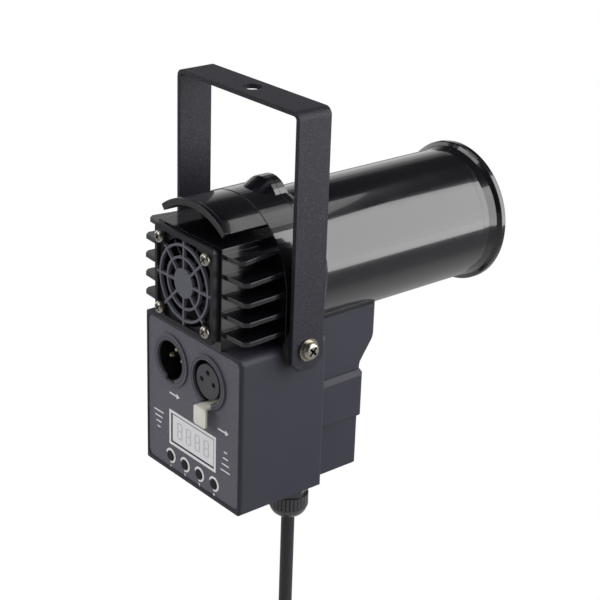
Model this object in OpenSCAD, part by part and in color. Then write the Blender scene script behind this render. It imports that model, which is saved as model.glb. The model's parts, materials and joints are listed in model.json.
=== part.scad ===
// Pinspot light hung from a bent steel yoke. The head tilts between the legs of the yoke.
// Millimetres, +Z up, the beam leaves along -Y and the control panel faces +Y.
// The origin is the centre of the hanging hole, on the top face of the yoke's crossbar.
// Parts of the head are drawn from the tilt axis and then lowered by pivot_drop.

/* [Yoke] */
// Width over the two legs
yoke_w = 80.5; // [78:0.5:100]
// Width of the steel strip
strip_w = 16.5; // [14:0.5:24]
// Thickness of the steel strip
strip_t = 2; // [1.5:0.5:4]
// Outer radius of the two bends
bend_r = 3.5; // [3:0.5:8]
// Height of the crossbar's top face above the tilt axis
pivot_drop = 102.3; // [96:0.5:140]
// Length of each leg below the tilt axis
leg_tail = 9.4; // [8.5:0.1:14]
// Cut corner at the foot of each leg
leg_chamfer = 4.2; // [2:0.2:6]
// Diameter of the hanging hole
hang_hole_d = 8.5; // [6:0.5:12]

/* [Pivot] */
// Diameter of the tilt screws
pivot_d = 4; // [3:0.5:5]
// Diameter of the tilt screw heads
pivot_head_d = 7.8; // [7:0.2:9]
// Height of the tilt screw heads
pivot_head_h = 2.8; // [2:0.2:4]
// Diameter of the plain washers
washer_d = 9.8; // [9:0.2:14]
// Thickness of the plain washers
washer_t = 0.9; // [0.6:0.1:1.5]
// Diameter of the friction discs between leg and head
friction_d = 18.4; // [15:0.2:22]
// Diameter of the brass inserts
insert_d = 6.4; // [5.5:0.1:7]
// Length of the brass inserts
insert_len = 8; // [5:0.5:10]
// Running clearance of the tilt screws in the legs
run_gap = 0.06; // [0.03:0.01:0.1]

/* [Control box] */
// Depth of the control box
box_d = 45.5; // [44:0.5:60]
// Height of the control box
box_h = 72.7; // [71:0.1:90]
// Wall of the control box
box_wall = 1.8; // [1.4:0.1:2.2]
// Radius of the control box's upright edges
box_edge_r = 1.5; // [1:0.1:3]
// Radius of the control box's upper long edges
box_top_r = 3; // [2:0.1:4]
// Distance from the tilt axis back to the box's rear face
axis_to_rear = 29.6; // [28:0.1:32]
// Thickness of the control panel
panel_t = 1.6; // [1.2:0.1:2]
// Depth of the panel below the box's rear edge
panel_inset = 0.4; // [0.2:0.1:0.8]
// Radius of the panel's corners
panel_r = 3; // [1:0.5:4]

/* [Panel fittings] */
// Height of the sockets' centres above the box's floor
socket_z = 54.6; // [53:0.1:56]
// Sideways place of the input socket
socket_in_x = 15.4; // [14.8:0.1:18]
// Sideways place of the output socket
socket_out_x = -11.2; // [-12:0.1:-10.6]
// Outer diameter of the socket flanges
socket_d = 24.3; // [22:0.1:25]
// Mouth of the input socket
socket_mouth_d = 17.8; // [16.5:0.1:19]
// Diameter of the output socket's contact block
contact_block_d = 15.6; // [14:0.1:16.4]
// Depth of the sockets behind the panel
socket_depth = 19; // [16:0.5:22]
// Distance of each contact from the socket's centre
contact_r = 4.1; // [3.5:0.1:4.5]
// Width of the display opening
display_w = 31.2; // [26:0.2:33]
// Height of the display opening
display_h = 14.4; // [12:0.2:15.4]
// Height of the display's centre above the box's floor
display_z = 21.95; // [21.4:0.05:23]
// Height of the keys' centres above the box's floor
key_z = 7.6; // [7:0.1:8.4]
// Distance between neighbouring keys
key_pitch = 10.5; // [8:0.1:11]
// Diameter of the key caps
key_d = 4; // [3:0.1:4.4]
// Travel of the keys
key_travel = 0.5; // [0.3:0.1:0.6]

/* [Rear housing] */
// Height of the barrel's axis above the tilt axis
barrel_lift = 23.6; // [23:0.1:27]
// Thickness of the hood
hood_t = 2.4; // [1.6:0.1:3.2]
// Half angle that the hood covers over the fan
hood_angle = 38; // [34:1:44]
// Length of the hood behind the collar
hood_len = 21.8; // [18:0.2:22]
// Half width of the square fan duct
duct_half = 21.9; // [21.4:0.1:23]
// Thickness of the cooling fins
fin_t = 2; // [1.2:0.1:2.6]
// Distance from one cooling fin to the next
fin_pitch = 8.55; // [8:0.05:8.7]
// Height of the hump above the collar
hump_rise = 4.1; // [2:0.1:6]
// Distance from the tilt axis forward to the housing seam
seam_reach = 8.4; // [8.2:0.1:10]

/* [Fan] */
// Side of the square fan
fan_size = 40; // [36:0.5:40]
// Depth of the fan frame
fan_depth = 10; // [8:0.5:12]
// Distance between the fan's screws
fan_screw_pitch = 32; // [30:0.5:32.4]
// Height of the fan's axis above the tilt axis
fan_lift = 24; // [23.8:0.1:24.6]
// Width of the fan grille
grille_w = 40.4; // [40:0.2:44]
// Height of the fan grille
grille_h = 42.6; // [40:0.2:43]
// Thickness of the fan grille
grille_t = 1.6; // [1.2:0.1:2.4]
// Number of fan blades
blade_count = 7; // [5:1:9]

/* [Barrel] */
// Outer radius of the barrel
barrel_r = 30.25; // [29:0.25:31]
// Wall of the barrel
barrel_wall = 2.3; // [1.8:0.1:3]
// Distance from the tilt axis forward to the front rim
barrel_reach = 123.8; // [115:0.5:160]
// Radius of the front rim
rim_r = 32.9; // [32.5:0.1:35]
// Half width of the neck under the barrel
neck_half = 21; // [19:0.1:23]
// Distance from the box's front to the neck's front face
neck_depth = 40.5; // [39:0.1:42]
// Half width of the band round the driver case
band_half = 22.5; // [22:0.1:24]
// Depth of the driver case in front of the box
case_depth = 32.7; // [30:0.1:33]
// Height of the driver case
case_h = 47.2; // [46:0.1:49]
// Distance that the driver case hangs below the box
case_drop = 4.5; // [2:0.1:5]

/* [Optics] */
// Thickness of the front lens at its edge
lens_edge = 3; // [2:0.5:4]
// Rise of the front lens at its centre
lens_rise = 4.5; // [2:0.5:6]
// Radius of the light board
board_r = 19; // [16:0.5:21]
// Front radius of the collimator
collimator_r = 21; // [16:0.5:22]
// Length of the collimator
collimator_len = 20; // [15:0.5:24]

/* [Cable] */
// Diameter of the cable
cord_d = 6; // [5:0.5:7]
// Radius of the gland nut
gland_r = 8.8; // [8:0.1:9]
// Height of the gland's fixed collar
gland_collar_h = 4; // [3:0.5:5]
// Height of the ribbed part of the gland nut
gland_rib_h = 5.9; // [4:0.1:8]
// Height of the gland nut's rounded end
gland_dome_h = 5.4; // [4:0.1:7]
// Radius of the coil, to the middle of the cable
coil_r = 33; // [31:0.5:36]
// Turns of the coil, to the side where the cable leaves
coil_turns = 5; // [2:1:6]
// Distance from one turn to the next
coil_pitch = 7; // [6.8:0.1:8]

/* [Hidden] */
$fn = 64;
gloss_black = [0.05, 0.05, 0.055];
satin_black = [0.11, 0.11, 0.125];
steel = [0.75, 0.74, 0.7];
board_green = [0.08, 0.3, 0.16];
eps = 0.01;
slip = 0.1;

// Widths that follow from the yoke
collar_r = yoke_w / 2 - strip_t - 3.15;
box_w = yoke_w - 12;

// Places along the beam, from the tilt axis, with the front negative
rear_y = axis_to_rear;
box_front_y = axis_to_rear - box_d;
panel_y = rear_y - panel_inset;
panel_back_y = panel_y - panel_t;
seam_y = -seam_reach;
collar_y = axis_to_rear - hood_len;
fan_rear_y = rear_y + 3;
fan_front_y = fan_rear_y - fan_depth;
duct_rear_y = fan_rear_y - 1.6;
rim_y = -barrel_reach;
gland_x = 10.25 - box_w / 2;
gland_y = box_front_y + gland_r + 1.1;

// Heights from the tilt axis
floor_z = -box_h;
socket_h = floor_z + socket_z;
display_h_mid = floor_z + display_z;
key_h = floor_z + key_z;
case_low_z = floor_z - case_drop;
case_top_z = case_low_z + case_h;
duct_top_z = fan_lift + fan_size / 2 + 1.3;

// Gaps at the tilt joint
leg_in = yoke_w / 2 - strip_t;
friction_t = leg_in - collar_r - 0.1;
boss_r = 7.4;
screw_in = collar_r - insert_len - 1;

// Hump on top of the collar
hump_r = 11.5;
hump_mid = collar_r + hump_rise - hump_r;
hump_ramp = 12;
hump_flat = 3.6;
hump_front = 9;

// Barrel stations from the front rim backwards
rim_len = 3.4;
flare_len = 4.8;
groove_len = 3.6;
lens_back = 13.8;
bore_r = barrel_r - barrel_wall;
mouth_r = bore_r + 0.9;
shoulder_len = 10;
tube_rear = seam_reach + 3;
pedestal_y = seam_y + 2.4;
board_t = 1.6;
light_y = pedestal_y - board_t;

// Output socket latch
latch_travel = 1.5;
latch_stand = 4.6;

// Sockets
socket_body_r = socket_d / 2 - 1.4;
socket_hole_r = socket_body_r + slip;
contact_places = [[-1, 0], [1, 0], [0, 1]];

// Circuit boards
control_board_y = panel_back_y - 8;
key_cap_len = 5.4;

// Fan
fan_bore_r = fan_size / 2 - 1;
blade_tip_r = fan_bore_r - 0.5;
hub_r = 9.5;
base_t = 1.6;
grille_rear_y = fan_rear_y + grille_t;
ring_radii = [11.2, 16.5];
rib_w = 1.1;
grille_hub_r = 6.45;

// Cable route, in the light's own frame. The first point is where the cable leaves the gland.
gland_len = gland_collar_h + gland_rib_h + gland_dome_h;
exit_z = -pivot_drop - box_h - gland_len;
lead_end = [gland_x, gland_y + 11.75, exit_z - 104.3];
lead_points = [
    [gland_x, gland_y, exit_z],
    [gland_x, gland_y, exit_z - 16],
    [gland_x, gland_y, exit_z - 32],
    [gland_x, gland_y, exit_z - 48],
    [gland_x, gland_y, exit_z - 66],
    [gland_x, gland_y, exit_z - 84],
    [gland_x, gland_y + 1, exit_z - 90.7],
    [gland_x, gland_y + 4, exit_z - 97.2],
    [gland_x, gland_y + 7.8, exit_z - 101.5],
    lead_end
];
join_angle = 30.8;
join_run = [0, cos(join_angle), -sin(join_angle)];
coil_mid = lead_end + cord_d * join_run - [0, coil_r * sin(join_angle), coil_r * cos(join_angle)];
coil_sweep = 90 + 360 * coil_turns - join_angle;
rings_per_turn = 24;
coil_steps = ceil(coil_sweep * rings_per_turn / 360);
coil_end = coil_point(coil_steps) - [0, 0, cord_d];
tail_len = 24;
plug_top = coil_end - [0, 0, tail_len];
plug_neck = 18;
plug_body_h = 34;
pin_len = 19;
pin_pitch = 18.6;

// Points along an arc, with the angle in degrees from the first axis
function arc(cx, cy, r, a0, a1, n) =
    [for (i = [0:n]) [cx + r * cos(a0 + (a1 - a0) * i / n), cy + r * sin(a0 + (a1 - a0) * i / n)]];

// Rectangle with rounded corners, from its low corner to its high corner
function round_rect(lo, hi, r) = concat(
    arc(hi[0] - r, hi[1] - r, r, 0, 90, 5),
    arc(lo[0] + r, hi[1] - r, r, 90, 180, 5),
    arc(lo[0] + r, lo[1] + r, r, 180, 270, 5),
    arc(hi[0] - r, lo[1] + r, r, 270, 360, 5)
);

// Point of the coil after a number of steps
function coil_point(i) =
    let (a = join_angle + coil_sweep * i / coil_steps)
    coil_mid + [coil_pitch * (a - join_angle) / 360, coil_r * sin(a), coil_r * cos(a)];

// Unit vector
function unit(v) = v / norm(v);

// Direction of a path at one of its points
function run_at(path, i) =
    unit(path[min(i + 1, len(path) - 1)] - path[max(i - 1, 0)]);

// Ring of points square to a direction, in a frame that keeps the X axis
function ring_at(p, run, r, sides) =
    let (side = unit([1, 0, 0] - (run * [1, 0, 0]) * run))
    let (up = cross(run, side))
    [for (k = [0:sides - 1]) p + r * (cos(360 * k / sides) * side + sin(360 * k / sides) * up)];

module head() {
    translate([0, 0, -pivot_drop]) children();
}

module block(lo, hi) {
    translate(lo) cube(hi - lo);
}

// Round bar along X
module bar_x(x0, x1, r) {
    translate([min(x0, x1), 0, 0]) rotate([0, 90, 0]) cylinder(h = abs(x1 - x0), r = r);
}

// Round bar along Y
module bar_y(y0, y1, r) {
    translate([0, max(y0, y1), 0]) rotate([90, 0, 0]) cylinder(h = abs(y1 - y0), r = r);
}

// Outline in X and Z, drawn out along Y
module draw_y(y0, y1) {
    translate([0, max(y0, y1), 0]) rotate([90, 0, 0]) linear_extrude(abs(y1 - y0)) children();
}

// Outline in Y and Z, drawn out along X
module draw_x(x0, x1) {
    translate([min(x0, x1), 0, 0]) rotate([90, 0, 90]) linear_extrude(abs(x1 - x0)) children();
}

// Outline of radius and distance forward, turned round the barrel's axis
module turn_barrel() {
    translate([0, 0, barrel_lift]) rotate([90, 0, 0]) rotate_extrude() children();
}

// Tube swept along a path, its end rings square to the given directions
module swept_tube(path, first_run, last_run, r, sides) {
    last = len(path) - 1;
    runs = [for (i = [0:last]) i == 0 ? first_run : i == last ? last_run : run_at(path, i)];
    points = [for (i = [0:last]) each ring_at(path[i], runs[i], r, sides)];
    sidewall = [
        for (i = [0:last - 1])
            for (k = [0:sides - 1])
                let (a = i * sides + k, b = i * sides + (k + 1) % sides)
                each [[a, a + sides, b + sides], [a, b + sides, b]]
    ];
    caps = [
        for (k = [1:sides - 2])
            each [[0, k, k + 1], [last * sides, last * sides + k + 1, last * sides + k]]
    ];
    polyhedron(points = points, faces = concat(sidewall, caps));
}

module yoke_bracket() {
    half = yoke_w / 2;
    inner_r = bend_r - strip_t;
    outline = concat(
        [[half, -pivot_drop - leg_tail]],
        arc(half - bend_r, -bend_r, bend_r, 0, 90, 8),
        arc(bend_r - half, -bend_r, bend_r, 90, 180, 8),
        [[-half, -pivot_drop - leg_tail], [strip_t - half, -pivot_drop - leg_tail]],
        arc(bend_r - half, -bend_r, inner_r, 180, 90, 6),
        arc(half - bend_r, -bend_r, inner_r, 90, 0, 6),
        [[half - strip_t, -pivot_drop - leg_tail]]
    );
    foot_z = -pivot_drop - leg_tail;
    side_outline = [
        [-strip_w / 2, 1],
        [-strip_w / 2, foot_z + leg_chamfer],
        [leg_chamfer - strip_w / 2, foot_z],
        [strip_w / 2 - leg_chamfer, foot_z],
        [strip_w / 2, foot_z + leg_chamfer],
        [strip_w / 2, 1]
    ];
    color(satin_black) difference() {
        intersection() {
            draw_y(-strip_w / 2, strip_w / 2) polygon(outline);
            draw_x(-half - 1, half + 1) polygon(side_outline);
        }
        translate([0, 0, -strip_t - 1]) cylinder(h = strip_t + 2, d = hang_hole_d);
        translate([0, 0, -pivot_drop]) bar_x(-half - 1, half + 1, pivot_d / 2 + run_gap);
    }
}

module both_sides() {
    children();
    mirror([1, 0, 0]) children();
}

// Cross recess cut into a screw head that faces along X
module cross_recess(x_face, depth, reach) {
    for (a = [45, 135]) {
        translate([x_face - depth, 0, 0]) rotate([a, 0, 0])
            block([0, -reach, -reach / 4.5], [depth + 1, reach, reach / 4.5]);
    }
}

// Pan head screw along X with its head outermost
module pan_screw(x_seat, x_tip, d, head_d, head_h) {
    difference() {
        union() {
            bar_x(x_tip, x_seat + eps, d / 2);
            translate([x_seat, 0, 0]) rotate([0, 90, 0]) rotate_extrude() polygon(concat(
                [[0, 0], [head_d / 2, 0]],
                arc(head_d / 2 - head_h * 0.62, head_h * 0.38, head_h * 0.62, 0, 90, 5),
                [[0, head_h]]
            ));
        }
        cross_recess(x_seat + head_h, head_h * 0.6, head_d * 0.3);
    }
}

module pivot_screws() {
    color(steel) head() both_sides() {
        pan_screw(yoke_w / 2 + washer_t + 0.05, screw_in, pivot_d, pivot_head_d, pivot_head_h);
    }
}

module pivot_washers() {
    color(steel) head() both_sides() difference() {
        bar_x(yoke_w / 2 + 0.05, yoke_w / 2 + 0.05 + washer_t, washer_d / 2);
        bar_x(yoke_w / 2 - 1, yoke_w / 2 + washer_t + 1, pivot_d / 2 + slip);
    }
}

module friction_discs() {
    color(gloss_black) head() both_sides() difference() {
        bar_x(collar_r, collar_r + friction_t, friction_d / 2);
        bar_x(collar_r - 1, leg_in + 1, pivot_d / 2 + slip);
    }
}

module pivot_inserts() {
    color([0.75, 0.6, 0.3]) head() both_sides() difference() {
        bar_x(collar_r - insert_len, collar_r, insert_d / 2);
        bar_x(collar_r - insert_len - 1, collar_r + 1, pivot_d / 2 + eps);
    }
}

// Outline of the box seen from above, set in from its outer faces
module box_plan(inset) {
    r = max(box_edge_r - inset, 0.4);
    polygon(round_rect([inset - box_w / 2, box_front_y + inset], [box_w / 2 - inset, rear_y - inset], r));
}

// Outline of the box seen from behind, its upper corners rounder than its lower ones
module box_profile() {
    half = box_w / 2;
    low_r = box_top_r / 2;
    polygon(concat(
        arc(half - box_top_r, -box_top_r, box_top_r, 0, 90, 6),
        arc(box_top_r - half, -box_top_r, box_top_r, 90, 180, 6),
        arc(low_r - half, floor_z + low_r, low_r, 180, 270, 5),
        arc(half - low_r, floor_z + low_r, low_r, 270, 360, 5)
    ));
}

// Outline of the panel seen from behind, set in from the box's outer faces
module panel_outline(inset) {
    polygon(round_rect(
        [inset - box_w / 2, floor_z + inset],
        [box_w / 2 - inset, -inset],
        panel_r
    ));
}

module control_box() {
    pocket = panel_inset + panel_t + slip;
    ledge = box_wall + 1.4;
    color(satin_black) head() difference() {
        union() {
            difference() {
                intersection() {
                    translate([0, 0, floor_z]) linear_extrude(box_h) box_plan(0);
                    draw_y(box_front_y - 1, rear_y + 1) box_profile();
                }
                draw_y(rear_y - pocket, rear_y + 1) panel_outline(box_wall);
                draw_y(rear_y - pocket - 2.5, rear_y) panel_outline(ledge);
                block([box_wall - box_w / 2, box_front_y + box_wall, floor_z + box_wall],
                    [box_w / 2 - box_wall, rear_y - pocket - 2.5, -box_wall]);
            }
            for (x = [6 - neck_half, neck_half - 6]) {
                for (z = [floor_z + 8, case_top_z - 8]) {
                    translate([x, 0, z]) bar_y(box_front_y - 4, box_front_y + box_wall, 2.6);
                }
            }
        }
        both_sides() bar_x(collar_r - 13, box_w / 2 + 1, boss_r + slip);
        block([-12, -6, -box_wall - 1], [12, 6, 1]);
        block([-13, box_front_y - 1, floor_z + 14], [13, box_front_y + box_wall + 1, case_top_z - 14]);
        translate([gland_x, gland_y, floor_z - 1]) cylinder(h = box_wall + 2, r = gland_thread_r() + slip);
    }
}

function gland_thread_r() = gland_r * 0.7;

// Key places from one side to the other
function key_x(i) = (1.5 - i) * key_pitch;

module control_panel() {
    boss_x = box_w / 2 - box_wall - 4.2;
    color(satin_black) head() difference() {
        union() {
            draw_y(panel_back_y, panel_y) panel_outline(box_wall + slip);
            for (x = [-boss_x, boss_x]) {
                for (z = [key_h - 1, display_h_mid + display_h / 2 + 4.5]) {
                    translate([x, 0, z]) bar_y(control_board_y, panel_back_y + eps, 2.2);
                }
            }
        }
        for (x = [socket_in_x, socket_out_x]) {
            translate([x, 0, socket_h]) bar_y(panel_back_y - 1, panel_y + 1, socket_hole_r);
        }
        block([-display_w / 2, panel_back_y - 1, display_h_mid - display_h / 2],
            [display_w / 2, panel_y + 1, display_h_mid + display_h / 2]);
        // Slot for the latch beside the output socket
        block([socket_out_x - 3.4, panel_back_y - 1, socket_h - socket_d / 2 + 0.2],
            [socket_out_x + 3.4, panel_y + 1, socket_h]);
        for (i = [0:3]) {
            translate([key_x(i), 0, key_h]) bar_y(panel_back_y - 1, panel_y + 1, key_d / 2 + slip);
        }
    }
}

module display_window() {
    color([0.62, 0.63, 0.66]) head() difference() {
        block([slip - display_w / 2, panel_back_y, display_h_mid - display_h / 2 + slip],
            [display_w / 2 - slip, panel_y - 0.3, display_h_mid + display_h / 2 - slip]);
    }
}

module display_module() {
    digit_w = display_w * 0.21;
    color([0.2, 0.2, 0.21]) head() difference() {
        block([-display_w / 2 - 1, control_board_y, display_h_mid - display_h / 2 - 0.6],
            [display_w / 2 + 1, panel_back_y, display_h_mid + display_h / 2 + 0.6]);
        for (i = [0:3]) {
            translate([(i - 1.5) * digit_w * 1.1, panel_back_y, display_h_mid])
                block([-digit_w * 0.36, -0.4, -display_h * 0.32], [digit_w * 0.36, 1, display_h * 0.32]);
        }
    }
}

module control_board() {
    half = box_w / 2 - box_wall - 1.5;
    color(board_green) head() block([-half, control_board_y - board_t, floor_z + 3],
        [half, control_board_y, display_h_mid + display_h / 2 + 8]);
}

module key_switches() {
    top_y = panel_y + 0.6 - key_cap_len - key_travel - slip;
    color([0.15, 0.15, 0.16]) head() for (i = [0:3]) {
        translate([key_x(i), 0, key_h])
            block([-3, control_board_y, -3], [3, top_y, 3]);
    }
}

// Key cap with the flange that keeps it behind the panel
module key_cap(i) {
    back_y = panel_y + 0.6 - key_cap_len;
    color(gloss_black) head() translate([key_x(i), 0, key_h]) {
        bar_y(back_y, panel_y + 0.6, key_d / 2);
        bar_y(back_y, panel_back_y - 0.05, key_d / 2 + 0.8);
    }
}

// Threads of text are left off; each socket is a flange, a body and a hollow
module socket_in_shell() {
    color(satin_black) head() translate([socket_in_x, 0, socket_h]) difference() {
        union() {
            bar_y(panel_y, panel_y + 0.8, socket_d / 2);
            bar_y(panel_y - socket_depth, panel_y + eps, socket_body_r);
        }
        bar_y(panel_y - socket_depth + 2.5, panel_y + 2, socket_mouth_d / 2);
        block([-3, panel_y - socket_depth + 2.5, -socket_mouth_d / 2 - 1.2], [3, panel_y + 2, 0]);
        for (c = contact_places) {
            translate([c[0] * contact_r, 0, c[1] * contact_r])
                bar_y(panel_y - socket_depth - 1, panel_y, 1.2 + eps);
        }
    }
}

module socket_in_pins() {
    color(steel) head() translate([socket_in_x, 0, socket_h]) for (c = contact_places) {
        translate([c[0] * contact_r, 0, c[1] * contact_r]) {
            bar_y(panel_y - socket_depth - 3, panel_y - 3.4, 1.2);
            translate([0, panel_y - 3.4 - eps, 0]) rotate([-90, 0, 0]) cylinder(h = 1, r1 = 1.2, r2 = 0.7);
        }
    }
}

module socket_out_shell() {
    color(satin_black) head() translate([socket_out_x, 0, socket_h]) difference() {
        union() {
            bar_y(panel_y, panel_y + 1, socket_d / 2);
            bar_y(panel_y - socket_depth, panel_y + eps, socket_body_r);
        }
        bar_y(panel_y - socket_depth + 5, panel_y + 2, socket_body_r - 0.9);
        for (c = contact_places) {
            translate([c[0] * contact_r, 0, c[1] * contact_r])
                bar_y(panel_y - socket_depth - 1, panel_y, 1.6);
        }
        block([-3.6, panel_y - 12, -socket_d / 2 - 1], [3.6, panel_y + 3, -socket_d / 2 + 2.6]);
    }
}

module socket_out_block() {
    color([0.2, 0.2, 0.22]) head() translate([socket_out_x, 0, socket_h]) difference() {
        bar_y(panel_y - socket_depth + 5, panel_y + 0.4, contact_block_d / 2);
        for (c = contact_places) {
            translate([c[0] * contact_r, 0, c[1] * contact_r]) {
                bar_y(panel_y - 2, panel_y + 2, 1.25);
                bar_y(panel_y - socket_depth, panel_y - 2 + eps, 1.5 + eps);
            }
        }
    }
}

module socket_out_contacts() {
    color([0.8, 0.66, 0.35]) head() translate([socket_out_x, 0, socket_h]) for (c = contact_places) {
        translate([c[0] * contact_r, 0, c[1] * contact_r]) difference() {
            bar_y(panel_y - socket_depth - 3, panel_y - 2.1, 1.5);
            bar_y(panel_y - 12, panel_y, 1.2);
        }
    }
}

// Sprung push tab that frees the plug, bent from one strip
module socket_out_latch() {
    arm_z = -socket_d / 2 + 0.6;
    tab = round_rect([-4.2, arm_z - 8], [4.2, arm_z + 1], 1.4);
    color([0.88, 0.86, 0.8]) head() translate([socket_out_x, 0, socket_h]) {
        draw_y(panel_y + latch_stand - 1, panel_y + latch_stand) polygon(tab);
        block([-3, panel_y - 9.5, arm_z], [3, panel_y + latch_stand - 1 + eps, arm_z + 1]);
    }
}

module socket_board() {
    board_rear_y = panel_y - socket_depth;
    color(board_green) head() difference() {
        block([socket_out_x - 14, board_rear_y - board_t, socket_h - 12],
            [socket_in_x + 14, board_rear_y, socket_h + 12]);
        for (x = [socket_in_x, socket_out_x]) {
            for (c = contact_places) {
                translate([x + c[0] * contact_r, 0, socket_h + c[1] * contact_r])
                    bar_y(board_rear_y - board_t - 1, board_rear_y + 1, 1.5 + eps);
            }
        }
    }
}

// Arched outline of the collar above the box, set in from its outer face
module collar_outline(inset) {
    r = collar_r - inset;
    polygon(concat([[r, inset], [r, barrel_lift]], arc(0, barrel_lift, r, 4, 176, 43),
        [[-r, barrel_lift], [-r, inset]]));
}

// One fin, wider towards the rear, with its outer rear corner cut off
module fin(k) {
    fin_top = k * fin_pitch;
    above = max(fin_top - barrel_lift, 0);
    front_x = sqrt(pow(collar_r, 2) - pow(above, 2));
    rear_x = min(front_x + above * 0.12, collar_r) + 0.6;
    corner = 1.6;
    translate([0, 0, fin_top - fin_t]) linear_extrude(fin_t) polygon([
        [duct_half - 2, collar_y - 2],
        [front_x - 0.3, collar_y - 2],
        [rear_x, rear_y - 0.4 - corner * 1.4],
        [rear_x - corner, rear_y - 0.4],
        [duct_half - 2, rear_y + 0.6]
    ]);
}

// Slanted hump with its crest between two distances from the seam
module hump(from_y, crest_y, to_y, drop_from, drop_to) {
    hull() {
        for (place = [[from_y, drop_from], [crest_y, 0], [to_y, drop_to]]) {
            translate([0, place[0], barrel_lift + hump_mid - place[1]])
                rotate([90, 0, 0]) cylinder(h = 0.2, r = hump_r, center = true, $fn = 32);
        }
    }
}

module rear_housing() {
    hood_r = collar_r - 0.2;
    cut = collar_r * 2;
    post = fan_size / 2 - fan_screw_pitch / 2 + 1.6;
    color(gloss_black) head() difference() {
        union() {
            difference() {
                draw_y(seam_y, collar_y) collar_outline(0);
                draw_y(seam_y - 1, collar_y - 3) collar_outline(3.2);
            }
            both_sides() for (k = [1:5]) {
                fin(k);
            }
            block([-duct_half, collar_y - eps, 0], [duct_half, duct_rear_y, duct_top_z]);
            // Hood over the fan, with a raised lip along its rear edge
            intersection() {
                difference() {
                    turn_barrel() polygon([[hood_r - hood_t, -rear_y], [hood_r + 0.5, -rear_y],
                        [hood_r + 0.5, 2 - rear_y], [hood_r, 2.6 - rear_y], [hood_r, eps - collar_y],
                        [hood_r - hood_t, eps - collar_y]]);
                }
                draw_y(collar_y - 1, rear_y + 1) polygon([[0, barrel_lift],
                    [cut * sin(hood_angle), barrel_lift + cut * cos(hood_angle)],
                    [0, barrel_lift + cut * 2],
                    [-cut * sin(hood_angle), barrel_lift + cut * cos(hood_angle)]]);
            }
            difference() {
                hump(seam_y + hump_ramp, seam_y + 2.4, seam_y + 0.1, hump_rise + 1.4, 0);
                turn_barrel() square([collar_r - 0.4, collar_r], center = false);
                turn_barrel() polygon([[0, -30], [collar_r - 0.4, -30], [collar_r - 0.4, 30], [0, 30]]);
            }
            both_sides() bar_x(collar_r - insert_len - 3, collar_r, boss_r);
            // Pedestal that carries heat from the light board to the fins
            translate([0, 0, barrel_lift]) bar_y(pedestal_y, collar_y - 1, board_r + 1);
        }
        // Duct with the fan in its mouth and its cooling plates in front
        difference() {
            block([-fan_size / 2 - slip, collar_y, fan_lift - fan_size / 2 - slip],
                [fan_size / 2 + slip, duct_rear_y + 1, fan_lift + fan_size / 2 + slip]);
            for (i = [-3:3]) {
                block([i * 5 - 0.6, collar_y - 1, 0], [i * 5 + 0.6, fan_front_y - 3, duct_top_z]);
            }
            for (x = [-1, 1]) {
                for (z = [-1, 1]) {
                    translate([x * fan_screw_pitch / 2, 0, fan_lift + z * fan_screw_pitch / 2])
                        block([-post, collar_y - 1, -post], [post, fan_front_y, post]);
                }
            }
        }
        for (x = [-1, 1]) {
            for (z = [-1, 1]) {
                translate([x * fan_screw_pitch / 2, 0, fan_lift + z * fan_screw_pitch / 2])
                    bar_y(fan_front_y - 6.5, fan_front_y + 1, 1.4 + eps);
            }
        }
        // Air slots through the duct's sides, one between each pair of fins
        for (k = [1:4]) {
            slot_z = (k + 0.5) * fin_pitch - fin_t / 2;
            block([-duct_half - 1, collar_y + 3, slot_z - 1.8], [-17, fan_front_y - 2, slot_z + 1.8]);
            block([17, collar_y + 3, slot_z - 1.8], [duct_half + 1, fan_front_y - 2, slot_z + 1.8]);
        }
        both_sides() bar_x(collar_r - insert_len, collar_r + 1, insert_d / 2 + eps);
        both_sides() bar_x(screw_in - 1, collar_r, pivot_d / 2 + slip);
    }
}

// Grille opening with its corners kept solid round the screws
module grille_opening() {
    w = grille_w / 2 - 1.7;
    h = grille_h / 2 - 2.4;
    c = 5.6;
    polygon([[w, h - c], [w - c, h], [c - w, h], [-w, h - c], [-w, c - h], [c - w, -h], [w - c, -h], [w, c - h]]);
}

module fan_grille() {
    color(gloss_black) head() translate([0, 0, fan_lift]) difference() {
        union() {
            draw_y(fan_rear_y, grille_rear_y) difference() {
                polygon(round_rect([-grille_w / 2, -grille_h / 2], [grille_w / 2, grille_h / 2], 2.4));
                grille_opening();
            }
            bar_y(fan_rear_y, grille_rear_y, grille_hub_r);
            for (r = ring_radii) {
                difference() {
                    bar_y(fan_rear_y, grille_rear_y, r + rib_w / 2);
                    bar_y(fan_rear_y - 1, grille_rear_y + 1, r - rib_w / 2);
                }
            }
            for (i = [0:7]) {
                rotate([0, i * 45, 0]) block([grille_hub_r - 1, fan_rear_y, -rib_w / 2],
                    [i % 2 == 0 ? grille_w / 2 - 1.2 : fan_screw_pitch * 0.66, grille_rear_y, rib_w / 2]);
            }
        }
        for (x = [-1, 1]) {
            for (z = [-1, 1]) {
                translate([x * fan_screw_pitch / 2, 0, z * fan_screw_pitch / 2])
                    bar_y(fan_rear_y - 1, grille_rear_y + 1, 1.7);
            }
        }
    }
}

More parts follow.
